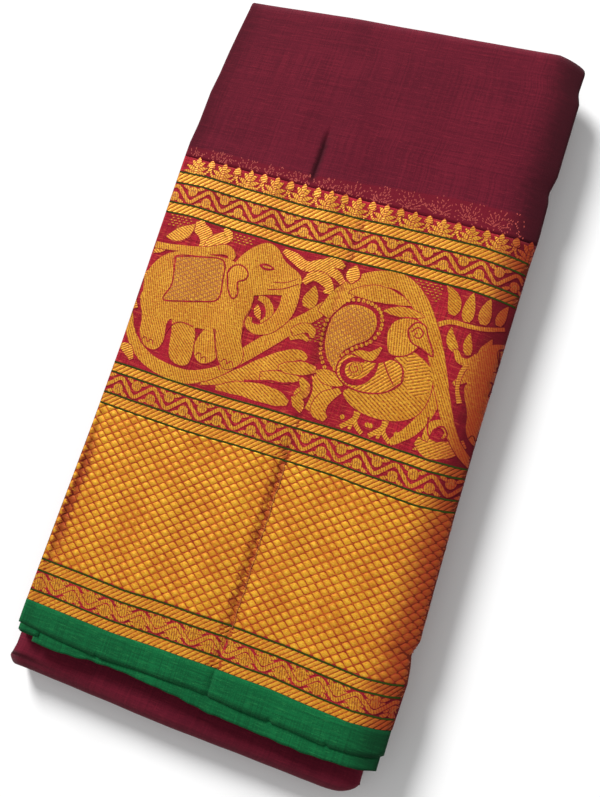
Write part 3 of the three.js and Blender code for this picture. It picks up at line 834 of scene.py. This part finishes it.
class Brocade:
    """Raised patches that follow the border cloth.

    turn is the direction across a patch's threads and pitch the distance between them. kind is the
    number of its material, and outline the width of the crimson line round it.
    """

    def __init__(self, name, materials):
        self.name, self.materials = name, materials
        self.points, self.faces, self.kinds, self.cloth, self.hatch, self.heights = [], [], [], [], [], []

    def point(self, x, y, height, turn=0.0, pitch=1.3, local=None):
        self.points.append(on_top(x, y + row_shift(x, y), height))
        self.heights.append(height)
        self.cloth.append((x / 1000, y / 1000))
        self.hatch.append(local or ((x * math.cos(turn) + y * math.sin(turn)) / pitch, 0.0))
        return len(self.points) - 1

    def face(self, corners, kind):
        self.faces.append(corners)
        self.kinds.append(kind)

    def skirt(self, loop, kind, outline):
        """Closes a patch down into the cloth, with a thin crimson outline round it if asked."""
        places = [(self.cloth[i][0] * 1000, self.cloth[i][1] * 1000) for i in loop]
        rim = loop
        if outline:
            rim = []
            for k, i in enumerate(loop):
                before, after = places[k - 1], places[(k + 1) % len(loop)]
                dx, dy = after[0] - before[0], after[1] - before[1]
                size = math.hypot(dx, dy)
                if size > 0.01:
                    places[k] = (places[k][0] + dy / size * outline, places[k][1] - dx / size * outline)
                rim.append(self.point(*places[k], self.heights[i] - OUTLINE_DROP))
            for (a, b), (c, d) in zip(around(loop), around(rim)):
                self.face((b, a, c, d), 1)
            kind = 1
        high, low = [], []
        for i, (x, y) in zip(rim, places):
            high.append(self.point(x, y, self.heights[i]))
            low.append(self.point(x, y, SKIRT_FOOT))
        for (a, b), (c, d) in zip(around(high), around(low)):
            self.face((b, a, c, d), kind)

    def ribbon(self, path, widths, level=1, turn=None, pitch=1.3, kind=0, step=1.4, outline=0.45):
        """A band along a smooth path, as wide as widths say at its points."""
        samples = curve_through(path, False, step)
        columns = 2 if max(widths) < NARROW else 3 if max(widths) < 4 else 5
        height = FIGURE_LIFT + LEVEL_STEP * level
        if turn is None:
            turn = turn_of(path)
        rows = []
        for k, (x, y, at) in enumerate(samples):
            before, after = samples[max(k - 1, 0)], samples[min(k + 1, len(samples) - 1)]
            dx, dy = after[0] - before[0], after[1] - before[1]
            size = math.hypot(dx, dy) or 1.0
            i = min(int(at), len(widths) - 2)
            width = widths[i] + (widths[i + 1] - widths[i]) * ease(at - i)
            if widths[i] > 2:
                width *= FULLER
            row = []
            for c in range(columns):
                s = 2 * c / (columns - 1) - 1
                row.append(self.point(x - dy / size * s * width / 2, y + dx / size * s * width / 2,
                                      height - RIM_DROP * s * s, turn, pitch))
            rows.append(row)
        for a, b in zip(rows, rows[1:]):
            for c in range(columns - 1):
                self.face((a[c], b[c], b[c + 1], a[c + 1]), kind)
        if max(widths) >= NARROW:
            loop = [r[0] for r in rows] + rows[-1][1:] + [r[-1] for r in rows[-2::-1]] + rows[0][-2:0:-1]
            self.skirt(loop, kind, outline)

    def leaf(self, base, tip, width, level=1, bend=0.0, turn=None, kind=0, edge=None, outline=0.4,
             blunt=False):
        """A pointed leaf from base to tip. bend swings its middle to the left of that line."""
        dx, dy = tip[0] - base[0], tip[1] - base[1]
        path = []
        for t in (0, 0.2, 0.4, 0.6, 0.8, 1):
            side = bend * 4 * t * (1 - t)
            path.append((base[0] + dx * t - dy * side, base[1] + dy * t + dx * side))
        widths = [width * w for w in (BLUNT if blunt else POINTED)]
        self.ribbon(path, widths, level, turn, kind=kind, step=1.2, outline=outline)
        if edge is not None:
            for s in (-1, 1):
                side_path = []
                for k, (x, y) in enumerate(path):
                    a, b = path[max(k - 1, 0)], path[min(k + 1, 5)]
                    size = math.dist(a, b) or 1.0
                    side_path.append((x - (b[1] - a[1]) / size * s * widths[k] / 2,
                                      y + (b[0] - a[0]) / size * s * widths[k] / 2))
                self.line(side_path, edge, level + 1)

    def blob(self, corners, level=1, turn=0.6, pitch=1.3, edge=None, centre=None, outline=0.45):
        """A filled shape with a smooth rim that its centre can see all of."""
        area = sum(a[0] * b[1] - b[0] * a[1] for a, b in around(corners))
        rim = curve_through(corners if area > 0 else corners[::-1], True)
        cx, cy = centre or [sum(p[axis] for p in rim) / len(rim) for axis in (0, 1)]
        rings = max(1, round(max(math.dist(p[:2], (cx, cy)) for p in rim) / 2.6))
        height = FIGURE_LIFT + LEVEL_STEP * level
        drawn = []
        for r in range(rings, 0, -1):
            share = r / rings
            drop = 0 if drawn else RIM_DROP
            drawn.append([self.point(cx + (x - cx) * share, cy + (y - cy) * share, height - drop, turn, pitch)
                          for x, y, _ in rim])
            if len(drawn) > 1:
                for (a, b), (c, d) in zip(around(drawn[-2]), around(drawn[-1])):
                    self.face((a, b, d, c), 0)
        middle = self.point(cx, cy, height, turn, pitch)
        for a, b in around(drawn[-1]):
            self.face((a, b, middle), 0)
        self.skirt(drawn[0], 0, outline)
        if edge is not None:
            self.line(corners + corners[:1], edge, level + 1)

    def lattice(self, corners, spacing, slants, level):
        """Fine lines that cross each other inside an outline."""
        cx, cy = (sum(p[axis] for p in corners) / len(corners) for axis in (0, 1))
        for slant in slants:
            dx, dy = math.cos(slant), math.sin(slant)
            for k in range(-14, 15):
                inside = [(cx - dy * spacing * k + dx * t, cy + dx * spacing * k + dy * t)
                          for t in range(-30, 31)]
                inside = [p for p in inside if within(corners, *p)]
                if len(inside) > 2:
                    self.line([inside[0], inside[len(inside) // 2], inside[-1]], 0.42, level, 2)

    def line(self, path, width, level, kind=1):
        self.ribbon(path, [width] * len(path), level, kind=kind)

    def disc(self, x, y, radius, level, turn=0.6):
        rim = [(x + radius * math.cos(a * math.pi / 4), y + radius * math.sin(a * math.pi / 4))
               for a in range(8)]
        self.blob(rim, level, turn, outline=0.3)

    def build(self):
        return make_piece(self.name, self.points, self.faces, self.materials,
                          {"cloth": self.cloth, "hatch": self.hatch}, self.kinds)


def elephant(b, dx):
    """A walking elephant with a saddle cloth, its trunk curled in. dx moves it along the border."""
    def at(*points):
        return [(x + dx, y) for x, y in points]

    b.blob(at((2, 182), (7, 168), (9, 159), (14, 153), (21, 152.5), (24, 159), (22.5, 169), (27, 180),
              (14, 188)), 2)
    b.blob(at((25, 176), (27, 164), (30, 152), (36, 148.5), (42, 150.5), (42, 160), (38, 172)), 2, 0.9)
    b.blob(at((47, 178), (42, 165), (43.5, 157), (49, 153), (56, 156.5), (57, 164), (54, 172)), 2, 0.3,
           edge=0.6)
    b.blob(at((50, 182), (54, 166), (59, 157), (64, 154), (70, 158), (71, 164), (66.5, 174), (65, 186),
              (58, 192)), 3)
    b.blob(at((1, 188), (2, 198), (8, 207), (20, 212), (34, 214), (48, 214.5), (60, 208), (66.5, 196),
              (65, 184), (57, 176), (49, 173.5), (38, 171), (24, 171.5), (9, 172)), 4, 0.44, 1.25, outline=0)
    b.blob(at((48, 205), (50, 216), (56, 225), (63.5, 230.5), (70.5, 229), (77, 223), (87, 218), (89.5, 212),
              (84, 205), (74, 202), (66, 199), (57, 196)), 5, 0.44, 1.25, outline=0)
    b.line(at((23.6, 162), (25.4, 168), (30, 171.6), (38, 171.4)), 0.6, 6)
    b.line(at((66.4, 197), (66.4, 190), (65, 184), (66.8, 174)), 0.5, 6)
    b.ribbon(at((84, 213), (86.2, 203), (85.6, 194), (81, 185.5), (74.5, 181), (68.5, 182), (67.5, 186.5)),
             [9.5, 9, 8.5, 7, 5.4, 4.2, 2.4], 4, 0.6)
    b.line(at((50, 174), (54, 165), (58.5, 156), (61, 152.5)), 0.7, 5)
    saddle = at((14, 207), (28, 211), (42, 213), (45.5, 202), (46.3, 190.5), (36, 186), (26, 183),
                (15.5, 181), (17.5, 190), (16, 199))
    b.blob(saddle, 5, 0.44, 1.25, edge=0.9)
    b.lattice(saddle, 2.3, (0.62, -0.42), 6)
    b.blob(at((46.8, 207), (49, 212), (54, 213.4), (58.6, 210), (58, 206), (54.3, 203.4), (56.6, 197),
              (54.6, 193.6), (50.6, 197.4)), 7, 0.2, edge=0.85, centre=(52.5 + dx, 205))
    b.leaf((63.5 + dx, 216.7), (72 + dx, 216.9), 2.9, 7, kind=1)
    b.leaf((65 + dx, 216.7), (70.6 + dx, 216.9), 1.3, 8)
    b.line(at((72.5, 204.6), (80, 207.2), (88.5, 212.3)), 0.55, 7)
    b.line(at((74, 209.6), (80, 211), (86.5, 214.6)), 0.45, 7)
    b.ribbon(at((68.8, 198.4), (73.4, 198), (77, 194), (78, 188.8), (74.6, 185)), [2.4, 3.8, 4, 4.2, 2.2], 3,
             0.44)
    b.leaf((69.6 + dx, 194.6), (73.6 + dx, 186.8), 3.6, 2, -0.1)
    for x, y in ((13, 155.5), (17, 155), (46.5, 156.5), (50, 155.2), (61.8, 157.2), (65.6, 157)):
        b.line(at((x - 1.7, y), (x - 0.6, y + 1.9), (x + 1, y + 1.6), (x + 1.8, y - 0.4)), 0.5, 6)
    b.ribbon(at((3.5, 196), (-1.5, 190), (-2, 180), (1.5, 172)), [2.6, 2.2, 1.9, 2.8], 3)


def peacock(b):
    """A peacock with a netted, beaded tail, its head turned back and a curled wing."""
    tail = [(122, 171), (115, 178), (112, 189), (113, 200), (119, 207.4), (128, 208.6), (135, 205.5),
            (137.3, 198), (134.6, 191), (127.5, 185.5), (123, 179.5)]
    b.blob(tail, 2, 0.44, 1.25, centre=(121.5, 193))
    b.lattice(tail, 2.4, (0.75, -0.6), 3)
    cx, cy = 123, 193.5
    beads = curve_through([(cx + (x - cx) * 1.19, cy + (y - cy) * 1.2) for x, y in tail], True, 2.6)
    for x, y, _ in beads:
        b.disc(x, y, 1.05, 2)
    b.blob([(157, 190.5), (166, 189), (173.2, 183.5), (175.8, 175), (175.4, 166), (172, 158.5), (164, 153.3),
            (152, 151), (141, 152.2), (133.6, 156), (131, 160.4), (137, 164.5), (146, 171), (150, 181)],
           2, 1.05, 1.7, centre=(156, 170))
    b.blob([(159, 189.4), (166, 188), (172.4, 182.8), (174.8, 175), (173, 169.4), (166, 168.6), (161.4, 174),
            (159.6, 182)], 3, 2.0, 1.7, outline=0)
    b.ribbon([(129, 160), (122, 153), (121, 146), (126, 142.5)], [3, 7, 8, 3], 2, 0.9, 1.5)
    b.blob([(159.5, 173), (157.5, 181), (151, 184), (144.5, 180.4), (137, 179.6), (128, 181), (123.4, 175),
            (124.6, 168), (131, 163.6), (141, 162.4), (152, 165.4)], 4, 2.4, 1.7, edge=0.8,
           centre=(142, 171.5))
    b.ribbon([(144, 180), (143, 174), (138.6, 167.8), (131.6, 166.2), (127, 170.2), (127, 175.4),
              (131, 178.6), (137, 178.8)], [1.4, 2.8, 3.2, 3, 2.8, 2.4, 2.4, 1.3], 6, kind=1, outline=0)
    b.disc(133.6, 173.6, 3.7, 7)
    b.line([(130.6, 176.2), (130, 173.4), (132, 171.4), (134.6, 172.6), (134, 175), (132.2, 174.6)], 0.6, 8)
    b.line([(147, 181.5), (150.5, 176.5), (155.5, 171)], 0.7, 6)
    b.blob([(143.8, 197.5), (145.5, 204.5), (151.5, 208.4), (158.5, 208.4), (163.6, 204), (162.4, 194),
            (156.5, 187.4), (148, 187)], 4, 0.2, 1.4, edge=0.7)
    b.blob([(154.5, 202), (157.8, 207.2), (163, 206.4), (165.6, 201.5), (171.5, 191.6), (164, 194),
            (158, 196)], 5, 0.6, edge=0.7, centre=(160.2, 200.5))
    b.line([(156.6, 201.4), (159.4, 204.8), (163, 202.4), (161.6, 199), (158.7, 199.6), (159.6, 202)], 0.75,
           7)
    b.ribbon([(126, 177), (133, 181.6), (139.4, 182.6), (143.4, 188.8)], [2.6, 5, 4.8, 1.2], 3, 1.05)
    for knee in (141.5, 157.5):
        b.ribbon([(knee, 151.5), (knee - 0.5, 147), (knee - 6.5, 141)], [3.4, 2.6, 2.2], 1)
        b.ribbon([(knee - 0.5, 147.4), (knee + 1.5, 144), (knee + 5.5, 141)], [2.4, 2.2, 2], 1)
        b.ribbon([(knee - 0.4, 147), (knee - 1.2, 144), (knee - 1.6, 141)], [2, 1.8, 1.6], 1)
    for x in (134.5, 148.5, 150.5, 165):
        b.disc(x, 146.4, 1.3, 1)


def scrolls(b):
    """The vine that winds round the animals, with its leaves, buds and curls."""
    b.ribbon([(-2, 171), (2.5, 160), (9, 152), (18, 146.2), (30, 143.4), (43, 143.4), (53, 147.2),
              (61, 152.4), (67.8, 160), (74.8, 168.6), (83.4, 178), (92.6, 187.8), (101.5, 197),
              (109.5, 206.5), (116, 213.5)], [3.6, 4.6, 5.6, 6.4, 7, 7, 6.2, 5.2, 6, 7.4, 7.4, 7, 6.4, 6.4,
                                              7.6], 1, 0.6)
    b.ribbon([(107, 199), (112.5, 211), (121, 220.5), (132, 226.4), (144, 226.8), (155, 219.6), (164, 208.5),
              (171.4, 195.5), (178, 182), (184, 170), (190.5, 158.5), (198, 149), (207, 141.5)],
             [7, 9, 9.4, 8.6, 8.6, 8.6, 8, 8, 7.6, 6.6, 5.6, 4.6, 4], 2, 0.6)
    b.ribbon([(178.5, 184), (178.8, 172), (177, 161), (172.5, 151.5), (166.5, 144.6), (163, 141)],
             [6.5, 6.4, 6.4, 6, 4.4, 2.6], 1, 0.5)
    b.ribbon([(53, 142.2), (63, 147), (73, 152.6), (82, 159), (89.4, 165.8), (96, 171), (101.6, 173.2),
              (105.8, 171.8)], [1.6, 4.2, 8, 10.4, 9, 6.8, 5.2, 2.4], 0, 1.05, 1.5)
    b.ribbon([(62, 142.4), (74, 145.6), (86, 146.6), (96, 146.2), (103.4, 145.2)], [2.2, 7, 9.2, 8.2, 3], 1,
             1.05, 1.5)
    b.line([(76, 150.9), (84, 152.8), (91, 154.8), (97.5, 155.2), (102, 157)], 1.1, 3)
    b.ribbon([(92.4, 163.4), (98, 164.6), (105, 166.2), (112.6, 167.6)], [2.4, 6, 7, 3.4], 2, 1.05, 1.5)
    b.ribbon([(84, 156), (92, 157.6), (100, 159), (106.6, 160.4)], [4, 6.2, 4.6, 1.4], 1, 1.05, 1.5)
    b.ribbon([(106, 160.6), (109.8, 157), (110.4, 152.6), (106.6, 150)], [2.2, 5, 4.4, 1.8], 2, 1.05, 1.5)
    b.leaf((104.4, 149.2), (111.6, 142), 6, 2, 0.15, 1.05)
    b.ribbon([(115, 166.5), (118.6, 161), (118.4, 153), (116.8, 144.4)], [8, 10, 7, 6.4], 1, 0.9, 1.5)
    b.ribbon([(93.5, 184.5), (98.6, 188.6), (103.4, 188.6), (105, 184.4)], [4, 5, 4.4, 2], 2, 1.05)
    b.ribbon([(93, 181.4), (98.5, 184), (103.5, 182.4)], [3, 3.6, 1.6], 1, 1.05)
    b.leaf((96.5, 200.5), (97.5, 213.5), 7.6, 2, -0.05, 1.05, blunt=True)
    b.ribbon([(91, 213.5), (94.5, 218.6), (101, 218.6), (106.5, 213.5), (103, 211.6)], [2.6, 5, 6, 3.6, 1.4],
             2, 2.3)
    b.ribbon([(74, 229), (81.5, 226.6), (89, 223.4), (96.5, 225.6), (104, 229.4), (110, 228)], [2.6, 5.4,
                                                                                                5.4, 6.4, 6,
                                                                                                2.4], 1, 2.4)
    b.ribbon([(89, 221.4), (97, 222.6), (106, 223.4), (112, 219)], [1.6, 2.8, 4.6, 3], 1, 2.4)
    b.leaf((116.6, 219.8), (116.6, 231), 8.4, 3, 0.05, edge=0.6)
    b.leaf((112.6, 167), (129.5, 163), 7.4, 2, 0.0, 1.05)
    b.leaf((106, 149), (112.4, 156.5), 5, 1, 0.1, 1.05)
    b.ribbon([(0, 211.5), (10, 212), (20, 213.4), (31, 215.8), (41, 219.6), (46, 217.4), (44.4, 213.6)],
             [3.6, 3.2, 3.4, 4, 5.4, 4, 1.6], 3, 0.4)
    b.leaf((4.5, 217.5), (19, 229), 8.6, 1, -0.12, edge=0.5)
    b.ribbon([(26, 214.5), (28.6, 219.6), (26.5, 225), (21.5, 228), (23.8, 231.6)], [2.4, 6.4, 7.6, 6.6, 2],
             1, 2.3)
    b.ribbon([(30, 217.5), (34, 223), (39.6, 227.6), (37, 231.6)], [4.4, 7, 6.2, 2], 2, 2.3)
    b.leaf((0.5, 206.5), (9, 212.4), 4.6, 2, 0.1)
    b.ribbon([(0.5, 149), (5, 148.2), (9.5, 143.2)], [3, 5.4, 2.4], 2, 2.2)
    b.leaf((117, 214.8), (152, 215.6), 8.6, 3, 0.07, 0.44)
    b.leaf((138.6, 209.2), (161, 211.2), 5.4, 3, 0.04, 1.05)
    b.ribbon([(168, 208.5), (175, 212.4), (184, 213), (194, 214.6), (204, 218.6)], [2.6, 2.4, 2.1, 2.1, 1.8],
             1, 0.4)
    for base, tip, width, bend in (((174.6, 216.4), (167.6, 231.6), 6.6, -0.16), ((183.2, 215),
                                                                                  (182.6, 231.6), 6.2, 0.02),
                                   ((192.2, 216.6), (192.4, 231.6), 6.2, 0.04), ((200, 219), (202.4, 231),
                                                                                 4.8, 0.05), ((182.6, 197.6),
                                                                                              (176.6, 209.8),
                                                                                              5, 0.12),
                                   ((189.2, 198), (187, 209.8), 4.6, 0.06), ((195, 200), (199, 210.8), 4.6,
                                                                             -0.06)):
        b.leaf(base, tip, width, 2, bend, 1.05, blunt=True)
    b.ribbon([(182, 198.4), (185.6, 194), (190.6, 194.4), (193.8, 199.4)], [2.6, 3.6, 3.6, 2.4], 3, 0.5)
    b.ribbon([(186, 180.4), (191, 186), (197, 193.6), (204, 201), (212, 207)], [2, 5, 8, 10, 10], 2, 0.7)
    b.ribbon([(176, 146.6), (184, 144.6), (193, 146.6), (201, 152)], [4, 9, 8, 4], 1, 2.2, 1.5)
    b.line([(178.6, 160), (181, 151.6), (187, 149.6), (190.8, 153.6), (187.6, 157.6), (184, 155.4),
            (186.2, 153)], 0.9, 4)
    b.ribbon([(180, 148), (181, 155.6), (186, 158.8), (190.6, 155.6), (189, 151.4)], [3, 3.6, 3.4, 3, 1.6],
             2, 0.6)
    b.leaf((175.6, 141.6), (187, 141.4), 3, 0, 0.2)
    for x0, x1, y0, y1 in ((3, 17, 225, 231), (42, 57, 225.5, 230.5), (150, 167, 221.5, 231),
                           (104, 110, 183, 197)):
        for row in range(int((y1 - y0) / 1.5) + 1):
            y = y0 + 1.5 * row
            for k in range(int((x1 - x0) / 2.7)):
                x = x0 + 2.7 * k + (row % 2) * 1.3
                if face_of_ground(x, y):
                    b.ribbon([(x, y), (x + 1.4, y + 0.25)], [0.5, 0.5], 0)


def face_of_ground(x, y):
    """Whether the ground shows in a dotted corner of the main band, clear of the leaves there."""
    if x < 20:
        return y > 222 + 0.6 * x - 3 and x < 16
    if x < 60:
        return y > 224.6 + 0.1 * (x - 42)
    if x < 115:
        return x + 0.35 * (190 - y) < 110
    return y > 252.5 - 0.2 * x and y > 231 - (x - 147) * 0.62


# The bends of the zigzag stems
VINE_PERIOD = 20.2
# The row of flowers along the border's edge: their foot, size and distance
FLORET_FOOT = 258.2
FLORET_SIZE = 0.98
FLORET_PITCH = 16.4
# The body's edge, over the next layer's row of flowers
VEIL_EDGE = 269.6
# The narrow bands' stripes: distance, width and slant in degrees
STRIPE_PITCH = 3.3
STRIPE_WIDTH = 2.4
STRIPE_SLANT = 42
# The padded net's diamonds
DIAMOND_WIDE = 6.35
DIAMOND_TALL = 5.25
DIAMOND_STEPS = (-1, -0.5, 0, 0.5, 1)
# The animals come again after this distance
ANIMAL_REPEAT = 190.5
# The patterns run on to here round the right side
PATTERN_END = 224


def vine_row(b, low, high, first_peak, dense):
    """A zigzag stem with a round flower in each bend."""
    middle, swing = (low + high) / 2, (high - low) / 2 - 1.6
    path = []
    for k in range(47):
        x = first_peak - VINE_PERIOD + k * VINE_PERIOD / 4
        if -6 < x < 226:
            path.append((x, middle + swing * math.cos(math.pi * k / 2)))
    b.ribbon(path, [2.0] * len(path), 2)
    for k in range(-1, 12):
        peak, valley = first_peak + VINE_PERIOD * k, first_peak + VINE_PERIOD * (k + 0.5)
        for x, heart, up in ((valley, high - 3.3, 1), (peak, low + 3.3, -1)):
            if not -4 < x < 222:
                continue
            b.disc(x, heart, 3.3 if dense else 2.9, 1, 0.2)
            b.line([(x - 1.2, heart - 0.6), (x, heart + 1.3), (x + 1.2, heart - 0.5)], 0.4, 3, 2)
            for s in (-1, 1):
                bend = 0.1 * s * up
                b.leaf((x + 2.2 * s, heart + 0.8 * up), (x + 6.6 * s, heart + 2.6 * up), 2.0, 1, bend)
                if dense:
                    b.leaf((x + 2.6 * s, heart - 1.2 * up), (x + 5.4 * s, heart + 0.2 * up), 1.7, 1, bend)


def above_foot(rise):
    return FLORET_FOOT + rise * FLORET_SIZE


def floret(b, x):
    """A spreading flower of paired leaves standing on the border's edge."""
    for start, reach, rise, width in ((0.2, 7.4, 1.1, 1.6), (1.4, 6.7, 5.0, 2.3), (4.0, 4.1, 8.6, 2.5)):
        for s in (-1, 1):
            tip = (x + reach * s * FLORET_SIZE, above_foot(rise))
            b.leaf((x + 0.2 * s, above_foot(start)), tip, width, 1, 0.08 * s, outline=0.28)
    b.ribbon([(x, FLORET_FOOT + 0.2), (x, above_foot(7))], [1.5, 1.3], 2, outline=0.25)
    b.leaf((x, above_foot(6.4)), (x, above_foot(11.3)), 2.8 * FLORET_SIZE, 3, outline=0.28)


def bud(b, x):
    """A bud on two curved stalks between the flowers."""
    b.leaf((x, above_foot(5.8)), (x, above_foot(11)), 3.9 * FLORET_SIZE, 3)
    for s in (-1, 1):
        stalk = [(x + across * s, FLORET_FOOT + rise)
                 for across, rise in ((3.2, 0.4), (0.8, 3.2), (0.4, 6.2))]
        b.ribbon(stalk, [1.2, 1.1, 1.2], 1, outline=0.2)
        b.disc(x + 1.5 * s, above_foot(7.0), 0.95, 2)


def veiled_floret(b, x, foot):
    """The next layer's flower showing faintly through the cloth, in broken strokes above the edge."""
    for leaf in range(-4, 5):
        angle = 0.32 * leaf
        reach = 10.6 - 1.1 * abs(leaf)
        for t in (0.25, 0.4, 0.55, 0.7, 0.85, 1.0):
            t += rng.uniform(-0.07, 0.07)
            px, py = x + math.sin(angle) * reach * t, foot + math.cos(angle) * reach * t
            if py > VEIL_EDGE and rng.random() < 0.75:
                faint_stroke(b, px, py, angle + rng.uniform(-0.3, 0.3))


def faint_stroke(b, x, y, angle):
    dx, dy = 0.5 * math.sin(angle), 0.5 * math.cos(angle)
    b.line([(x - dx, y - dy), (x + dx, y + dy)], 0.36 + 0.2 * rng.random(), -1, 3)


def veiled_row(b):
    """The next layer's flowers, with loose strokes between them."""
    for k in range(12):
        x = 3.5 + FLORET_PITCH * k
        foot = 264.8 + 6.6 * ease((x - 60) / 110)
        veiled_floret(b, x, foot)
        for _ in range(30):
            px, py = x + rng.uniform(-1, 15.4), rng.uniform(VEIL_EDGE, foot + 10.8)
            faint_stroke(b, px, py, rng.uniform(-0.9, 0.9))


def stripes(b):
    """The slanting gold stripes of the narrow bands."""
    for low, high in STRIPE_BANDS:
        run = (high - low) / math.tan(math.radians(STRIPE_SLANT))
        x = -run - 1
        while x < PATTERN_END:
            rows = []
            for t in (0, 0.33, 0.67, 1):
                px, y = x + run * t, low + (high - low) * t
                rows.append([b.point(px + STRIPE_WIDTH * w, y, h, local=(0.27 + 0.46 * w, 0.0))
                             for w, h in ((0, 0.02), (0.5, 0.13), (1, 0.02))])
            for r, s in zip(rows, rows[1:]):
                for k in (0, 1):
                    b.face((r[k], r[k + 1], s[k + 1], s[k]), 0)
            x += STRIPE_PITCH


def diamonds(b):
    """The padded net: rows of small domed diamonds."""
    low, high = MESH_BAND
    for j in range(int((high - low) / (DIAMOND_TALL / 2)) + 1):
        cy = low + 0.9 + j * DIAMOND_TALL / 2
        for i in range(-1, 36):
            cx = 1.2 + i * DIAMOND_WIDE + (j % 2) * DIAMOND_WIDE / 2 + rng.uniform(-0.15, 0.15)
            size = 0.97 + rng.uniform(-0.04, 0.03)
            height = 0.27 + rng.uniform(-0.12, 0.12)
            grid = []
            for u in DIAMOND_STEPS:
                for v in DIAMOND_STEPS:
                    x = cx + (u - v) / 2 * DIAMOND_WIDE / 2 * size
                    y = min(max(cy + (u + v) / 2 * DIAMOND_TALL / 2 * size, low), high)
                    dome = (1 - u * u) * (1 - v * v)
                    grid.append(b.point(x, y, -0.03 + height * dome ** 0.7, local=(u, v)))
            for face in grid_faces(5, 5, flip=True):
                b.face(tuple(grid[0] + corner for corner in face), 0)


def line_threads(b):
    """The green threads between the bands."""
    for y in GREEN_LINES:
        path = [(x, y + 0.12 * math.sin(x / 7.0 + y)) for x in spread(-3, PATTERN_END, 4.0)]
        b.ribbon(path, [0.95] * len(path), 3, step=2.0)


figures = Brocade("brocade_figures", [GOLD, CRIMSON, GOLD_SHADE])
elephant(figures, 0)
elephant(figures, ANIMAL_REPEAT)
peacock(figures)
scrolls(figures)

rows = Brocade("brocade_rows", [GOLD, CRIMSON, GOLD_SHADE, COPPER])
vine_row(rows, *VINE_BANDS[2], 0.5, False)
vine_row(rows, *VINE_BANDS[1], 8.0, False)
vine_row(rows, *VINE_BANDS[0], 3.0, True)
for k in range(14):
    floret(rows, 8 + FLORET_PITCH * k)
    bud(rows, 16.2 + FLORET_PITCH * k)
veiled_row(rows)
# A darker jagged line along the crease through the padded net: painted shade of the crease
crease_shade_line = [(112.9 + 0.25 * math.sin(y / 3.1) + 0.2 * math.sin(y / 1.3), y) for y in spread(22, 113, 1.3)]
rows.line(crease_shade_line, 0.4, 8, 2)

band_stripes = Brocade("brocade_stripes", [GOLD])
stripes(band_stripes)
net = Brocade("brocade_net", [GOLD_PAD])
diamonds(net)
threads = Brocade("border_line_threads", [LINE_GREEN])
line_threads(threads)
brocade_pieces = [b.build() for b in (figures, rows, band_stripes, net, threads)]


# The floor, the camera and the light

CAMERA_AT = (187.168, 93.510, 430.604 + TOP)
CAMERA_RIGHT = (0.94229, 0.30831, -0.13050)
CAMERA_DOWN = (0.28440, -0.94281, -0.17388)
CAMERA_FORWARD = (-0.17664, 0.12674, -0.97608)
CAMERA_LENS = 36.395
# The light shines from here at the middle of the bundle, in metres
KEY_AT = Vector((-4.85, 5.95, 4.8))
KEY_SIZE = 3.1
KEY_POWER = 1200
WORLD_STRENGTH = 0.51
FLOOR_SIZE = 6
FLOOR_Z = -0.0002
PALE = (0.86, 0.86, 0.86, 1)


def stage():
    bpy.ops.mesh.primitive_plane_add(size=FLOOR_SIZE, location=(0, 0, FLOOR_Z))
    floor = bpy.context.object
    floor.name = "floor"
    floor.data.materials.append(material("pale_floor", PALE, 0.9))


def add_camera():
    data = bpy.data.cameras.new("camera")
    data.lens = CAMERA_LENS
    data.sensor_width = 36
    data.clip_start = 0.01
    camera = bpy.data.objects.new("camera", data)
    turn = Matrix((CAMERA_RIGHT, [-v for v in CAMERA_DOWN], [-v for v in CAMERA_FORWARD])).transposed()
    camera.matrix_world = Matrix.Translation(to_frame(*CAMERA_AT)) @ turn.to_4x4()
    bpy.context.scene.collection.objects.link(camera)
    bpy.context.scene.camera = camera


def add_key():
    data = bpy.data.lights.new("key", "AREA")
    data.shape = "DISK"
    data.size = KEY_SIZE
    data.energy = KEY_POWER
    light = bpy.data.objects.new("key", data)
    light.location = KEY_AT
    light.rotation_euler = (-KEY_AT).to_track_quat("-Z", "Y").to_euler()
    bpy.context.scene.collection.objects.link(light)


def add_world():
    world = bpy.data.worlds.new("studio")
    world.use_nodes = True
    background = world.node_tree.nodes["Background"]
    background.inputs["Color"].default_value = (1, 1, 1, 1)
    background.inputs["Strength"].default_value = WORLD_STRENGTH
    bpy.context.scene.world = world


stage()
add_camera()
add_world()
add_key()
bpy.context.scene.view_settings.view_transform = "Standard"
